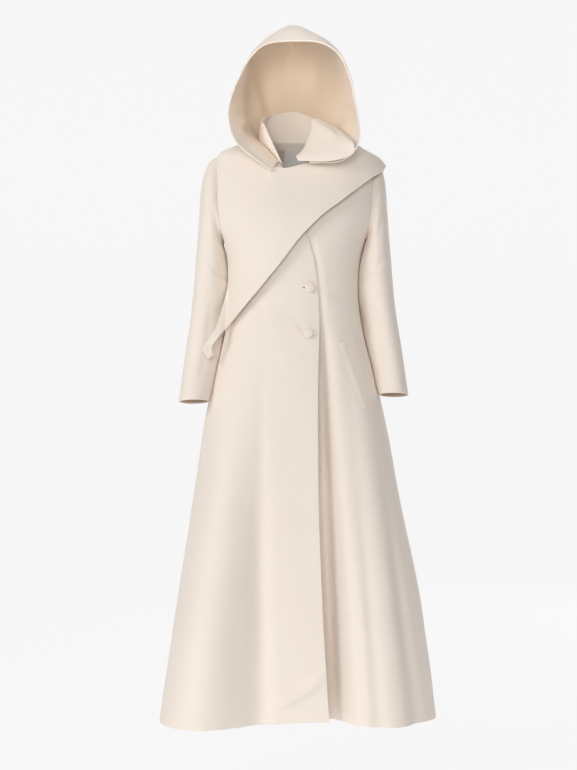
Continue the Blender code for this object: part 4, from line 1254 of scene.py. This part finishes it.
def group_of(name, **inputs):
    """A shader node group with named inputs that gives a colour, a roughness and a height."""
    group = bpy.data.node_groups.new(name, "ShaderNodeTree")
    for key, value in inputs.items():
        kind = "NodeSocketFloat" if isinstance(value, float) else "NodeSocketColor"
        socket = group.interface.new_socket(key, in_out="INPUT", socket_type=kind)
        socket.default_value = value
    for key, kind in (("Color", "Color"), ("Roughness", "Float"), ("Height", "Float")):
        group.interface.new_socket(key, in_out="OUTPUT", socket_type="NodeSocket" + kind)
    given = group.nodes.new("NodeGroupInput").outputs
    return group, given, group.nodes.new("NodeGroupOutput").inputs


def calc(tree, operation, *values):
    """The result of a sum, product or the like of values, each a socket or a number."""
    made = tree.nodes.new("ShaderNodeMath")
    made.operation = operation
    for socket, value in zip(made.inputs, values):
        if isinstance(value, float):
            socket.default_value = value
        else:
            tree.links.new(value, socket)
    return made.outputs[0]


def noise(tree, place, scale, roughness, distortion=0.0):
    """A cloudy pattern of a few octaves, from 0 to 1."""
    made = tree.nodes.new("ShaderNodeTexNoise")
    fill(made.inputs, Scale=scale, Detail=3.0, Roughness=roughness, Distortion=distortion)
    tree.links.new(place, made.inputs["Vector"])
    return made.outputs["Fac"]


def blend(tree, share, first, second):
    """A mix of two colours by the share of the second."""
    made = tree.nodes.new("ShaderNodeMix")
    made.data_type = "RGBA"
    for source, socket in ((share, 0), (first, 6), (second, 7)):
        tree.links.new(source, made.inputs[socket])
    return made.outputs[2]


def felted_wool():
    """The group of brushed wool: mottled tint, matted fibres and the height of its nap."""
    group, given, result = group_of("felted_wool", Tint=WOOL_TINT, Shade=WOOL_SHADE,
                                    Reverse=WOOL_REVERSE_PAINTED_SHADE, Mottle=0.5, Nap=1.0)
    place = group.nodes.new("ShaderNodeTexCoord").outputs["Object"]
    drawn = group.nodes.new("ShaderNodeMapping")
    fill(drawn.inputs, Scale=(1.0, 1.0, 0.45))
    group.links.new(place, drawn.inputs["Vector"])
    cloud = noise(group, place, 9.0, 0.5)
    fibre = noise(group, drawn.outputs[0], 700.0, 0.6, 0.8)
    tuft = noise(group, drawn.outputs[0], 170.0, 0.55)
    speck = calc(group, "MULTIPLY", fibre, tuft)
    mixed = calc(group, "MULTIPLY_ADD", speck, 1.4, calc(group, "MULTIPLY", cloud, 0.6))
    spread = calc(group, "MULTIPLY", calc(group, "SUBTRACT", mixed, 0.35), given["Mottle"])
    face = blend(group, spread, given["Tint"], given["Shade"])
    # the mask of the wrong side, which also carries painted shade deep in the hood and in a
    # buttonhole's slit
    turned = group.nodes.new("ShaderNodeAttribute")
    turned.attribute_name = "reverse_and_shade"
    colour = blend(group, turned.outputs["Fac"], face, given["Reverse"])
    nap = calc(group, "MULTIPLY_ADD", fibre, 0.35, calc(group, "MULTIPLY", tuft, 0.65))
    group.links.new(colour, result["Color"])
    group.links.new(calc(group, "MULTIPLY_ADD", tuft, 0.12, 0.84), result["Roughness"])
    group.links.new(calc(group, "MULTIPLY", nap, given["Nap"]), result["Height"])
    return group


def woven_band():
    """The group of a fine woven band: crossed threads as sines of the piece's own place."""
    group, given, result = group_of("woven_band", Tint=TAPE_TINT, Thread=TAPE_THREAD, Pitch=1800.0)
    split = group.nodes.new("ShaderNodeSeparateXYZ")
    group.links.new(group.nodes.new("ShaderNodeTexCoord").outputs["Object"], split.inputs[0])
    warp, weft = (calc(group, "SINE", calc(group, "MULTIPLY", split.outputs[axis], given["Pitch"]))
                  for axis in "XZ")
    weave = calc(group, "MULTIPLY_ADD", calc(group, "MULTIPLY", warp, weft), 0.5, 0.5)
    group.links.new(blend(group, weave, given["Tint"], given["Thread"]), result["Color"])
    group.links.new(calc(group, "MULTIPLY_ADD", weave, 0.15, 0.5), result["Roughness"])
    group.links.new(weave, result["Height"])
    return group


def material_of(name, group, sheen, bump, **values):
    """A material that takes its colour, roughness and height from a group."""
    material = bpy.data.materials.new(name)
    material.use_nodes = True
    tree = material.node_tree
    shader = tree.nodes["Principled BSDF"].inputs
    effect = tree.nodes.new("ShaderNodeGroup")
    effect.node_tree = group
    fill(effect.inputs, **values)
    raised = tree.nodes.new("ShaderNodeBump")
    fill(raised.inputs, Strength=bump[0], Distance=bump[1])
    tree.links.new(effect.outputs["Color"], shader["Base Color"])
    tree.links.new(effect.outputs["Roughness"], shader["Roughness"])
    tree.links.new(effect.outputs["Height"], raised.inputs["Height"])
    tree.links.new(raised.outputs["Normal"], shader["Normal"])
    fill(shader, Metallic=0.0, Specular_IOR_Level=0.25, Sheen_Weight=sheen, Sheen_Roughness=0.5,
         Sheen_Tint=SHEEN_TINT)
    return material


def floor_material(name):
    """A plain matt finish that glows evenly, as paper does that is lit from behind."""
    material = bpy.data.materials.new(name)
    material.use_nodes = True
    fill(material.node_tree.nodes["Principled BSDF"].inputs, Base_Color=FLOOR_TINT, Roughness=1.0,
         Specular_IOR_Level=0.0, Emission_Color=AIR_TINT, Emission_Strength=FLOOR_GLOW)
    return material


def put_on(piece, node_name, material):
    """Makes a piece stand for a node, ride on the coat and take its finish."""
    piece.data.materials.append(material)
    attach(piece, "root")
    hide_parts(node_name)


def put_light(name, kind, place, aim, power, tint, **settings):
    """Puts a lamp at a place so that it points at another."""
    lamp = bpy.data.lights.new(name, kind)
    lamp.energy = power
    lamp.color = tint
    for key, value in settings.items():
        setattr(lamp, key, value)
    holder = bpy.data.objects.new(name, lamp)
    holder.location = place
    look = np.array(aim) - np.array(place)
    yaw = math.atan2(look[0], -look[1])
    pitch = math.atan2(math.hypot(look[0], look[1]), -look[2])
    holder.rotation_euler = (pitch, 0.0, yaw + math.pi)
    bpy.context.scene.collection.objects.link(holder)


def build_studio():
    """A pale floor that sweeps up far behind the coat, the lights, and the camera."""
    run = np.linspace(0.0, 1.0, FLOOR_ROWS)
    bend = np.radians(90.0) * ease((run - 0.50) / 0.25)
    y = FLOOR_FRONT + FLOOR_STEP * np.concatenate([[0.0], np.cumsum(np.cos(bend))[:-1]])
    z = FLOOR_Z + FLOOR_STEP * np.concatenate([[0.0], np.cumsum(np.sin(bend))[:-1]])
    side = np.linspace(-FLOOR_HALF, FLOOR_HALF, 3)
    points = np.stack(np.broadcast_arrays(side, y[:, None], z[:, None]), axis=-1)
    quads = grid_quads(FLOOR_ROWS, 3)[:, ::-1]
    mesh = bpy.data.meshes.new("studio_floor")
    mesh.from_pydata(points.reshape(-1, 3).tolist(), [], quads.tolist())
    mesh.shade_smooth()
    floor = bpy.data.objects.new("studio_floor", mesh)
    bpy.context.scene.collection.objects.link(floor)
    mesh.materials.append(floor_material("pale_floor"))

    for name, place, aim, size, power, tint in LIGHTS:
        put_light(name, "AREA", place, aim, power, tint, size=size)
    for name, place, aim, angle, radius, power, tint in SPOTS:
        put_light(name, "SPOT", place, aim, power, tint, spot_size=math.radians(angle),
                  spot_blend=1.0, shadow_soft_size=radius)

    world = bpy.data.worlds.new("studio_air")
    world.use_nodes = True
    fill(world.node_tree.nodes["Background"].inputs, Color=AIR_TINT, Strength=AIR_STRENGTH)
    bpy.context.scene.world = world

    camera = bpy.data.cameras.new("front_camera")
    camera.sensor_fit = "VERTICAL"
    camera.sensor_height = SENSOR
    camera.lens = SENSOR * CAMERA_AWAY / (PICTURE_ROWS * METRES_A_PIXEL)
    camera.clip_end = 60.0
    stand = bpy.data.objects.new("front_camera", camera)
    stand.location = (CAMERA_X, -CAMERA_AWAY, CAMERA_Z)
    stand.rotation_euler = (math.radians(90.0), 0.0, 0.0)
    bpy.context.scene.collection.objects.link(stand)
    bpy.context.scene.camera = stand
    bpy.context.scene.view_settings.view_transform = "Standard"


def main():
    """Makes every piece of the coat, its finishes and the studio."""
    felt = felted_wool()
    band = woven_band()
    wool = material_of("cream_wool", felt, 0.25, (0.35, 0.0006), Tint=WOOL_TINT, Shade=WOOL_SHADE,
                       Reverse=WOOL_REVERSE_PAINTED_SHADE, Mottle=0.6, Nap=1.0)
    # painted light: the collar takes a lightened copy of the wool
    collar_wool_painted_light = material_of("collar_wool_painted_light", felt, 0.25, (0.35, 0.0006), Tint=COLLAR_PAINTED_LIGHT,
                              Shade=COLLAR_PAINTED_LIGHT_MOTTLE, Reverse=COLLAR_PAINTED_LIGHT, Mottle=0.6, Nap=1.0)
    # the buttonhole's material: its second colour is painted shade for the slit
    thread = material_of("hole_thread_and_slit_shade", felt, 0.1, (0.2, 0.0003), Tint=WOOL_TINT, Shade=WOOL_SHADE,
                         Reverse=SLIT_PAINTED_SHADE, Mottle=0.4, Nap=0.5)
    tape = material_of("neck_band", band, 0.1, (0.3, 0.0002), Tint=TAPE_TINT, Thread=TAPE_THREAD,
                       Pitch=5200.0)
    satin = material_of("label_weave", band, 0.0, (0.2, 0.0001), Tint=LABEL_TINT,
                        Thread=LABEL_THREAD, Pitch=7000.0)
    pieces = build_body()
    pieces["sleeve_right"] = build_sleeve("set_in_sleeve_right", -1, RIGHT_SLEEVE_CREASES)
    pieces["sleeve_left"] = build_sleeve("set_in_sleeve_left", 1, LEFT_SLEEVE_CREASES)
    pieces.update(build_hood())
    pieces["collar"] = build_collar()
    pieces["drape"] = build_drape()
    pieces["pocket_welt"] = build_pocket()
    for name, x, height, start in BUTTON_PLACES:
        pieces["button_" + name] = build_button("covered_button_" + name, x, height)
    for name, piece in pieces.items():
        put_on(piece, name, collar_wool_painted_light if name == "collar" else wool)
    for name, x, height, start in BUTTON_PLACES:
        hole = build_buttonhole("worked_hole_" + name, x, height, start)
        hole.data.materials.append(thread)
        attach(hole, "root")
    facing, label = build_neck_inside()
    put_on(facing, "neck_facing", tape)
    put_on(label, "label", satin)
    pieces["neck_facing"] = facing
    pieces["label"] = label
    build_studio()


NECK_OUTLINE = neck_outline()
main()
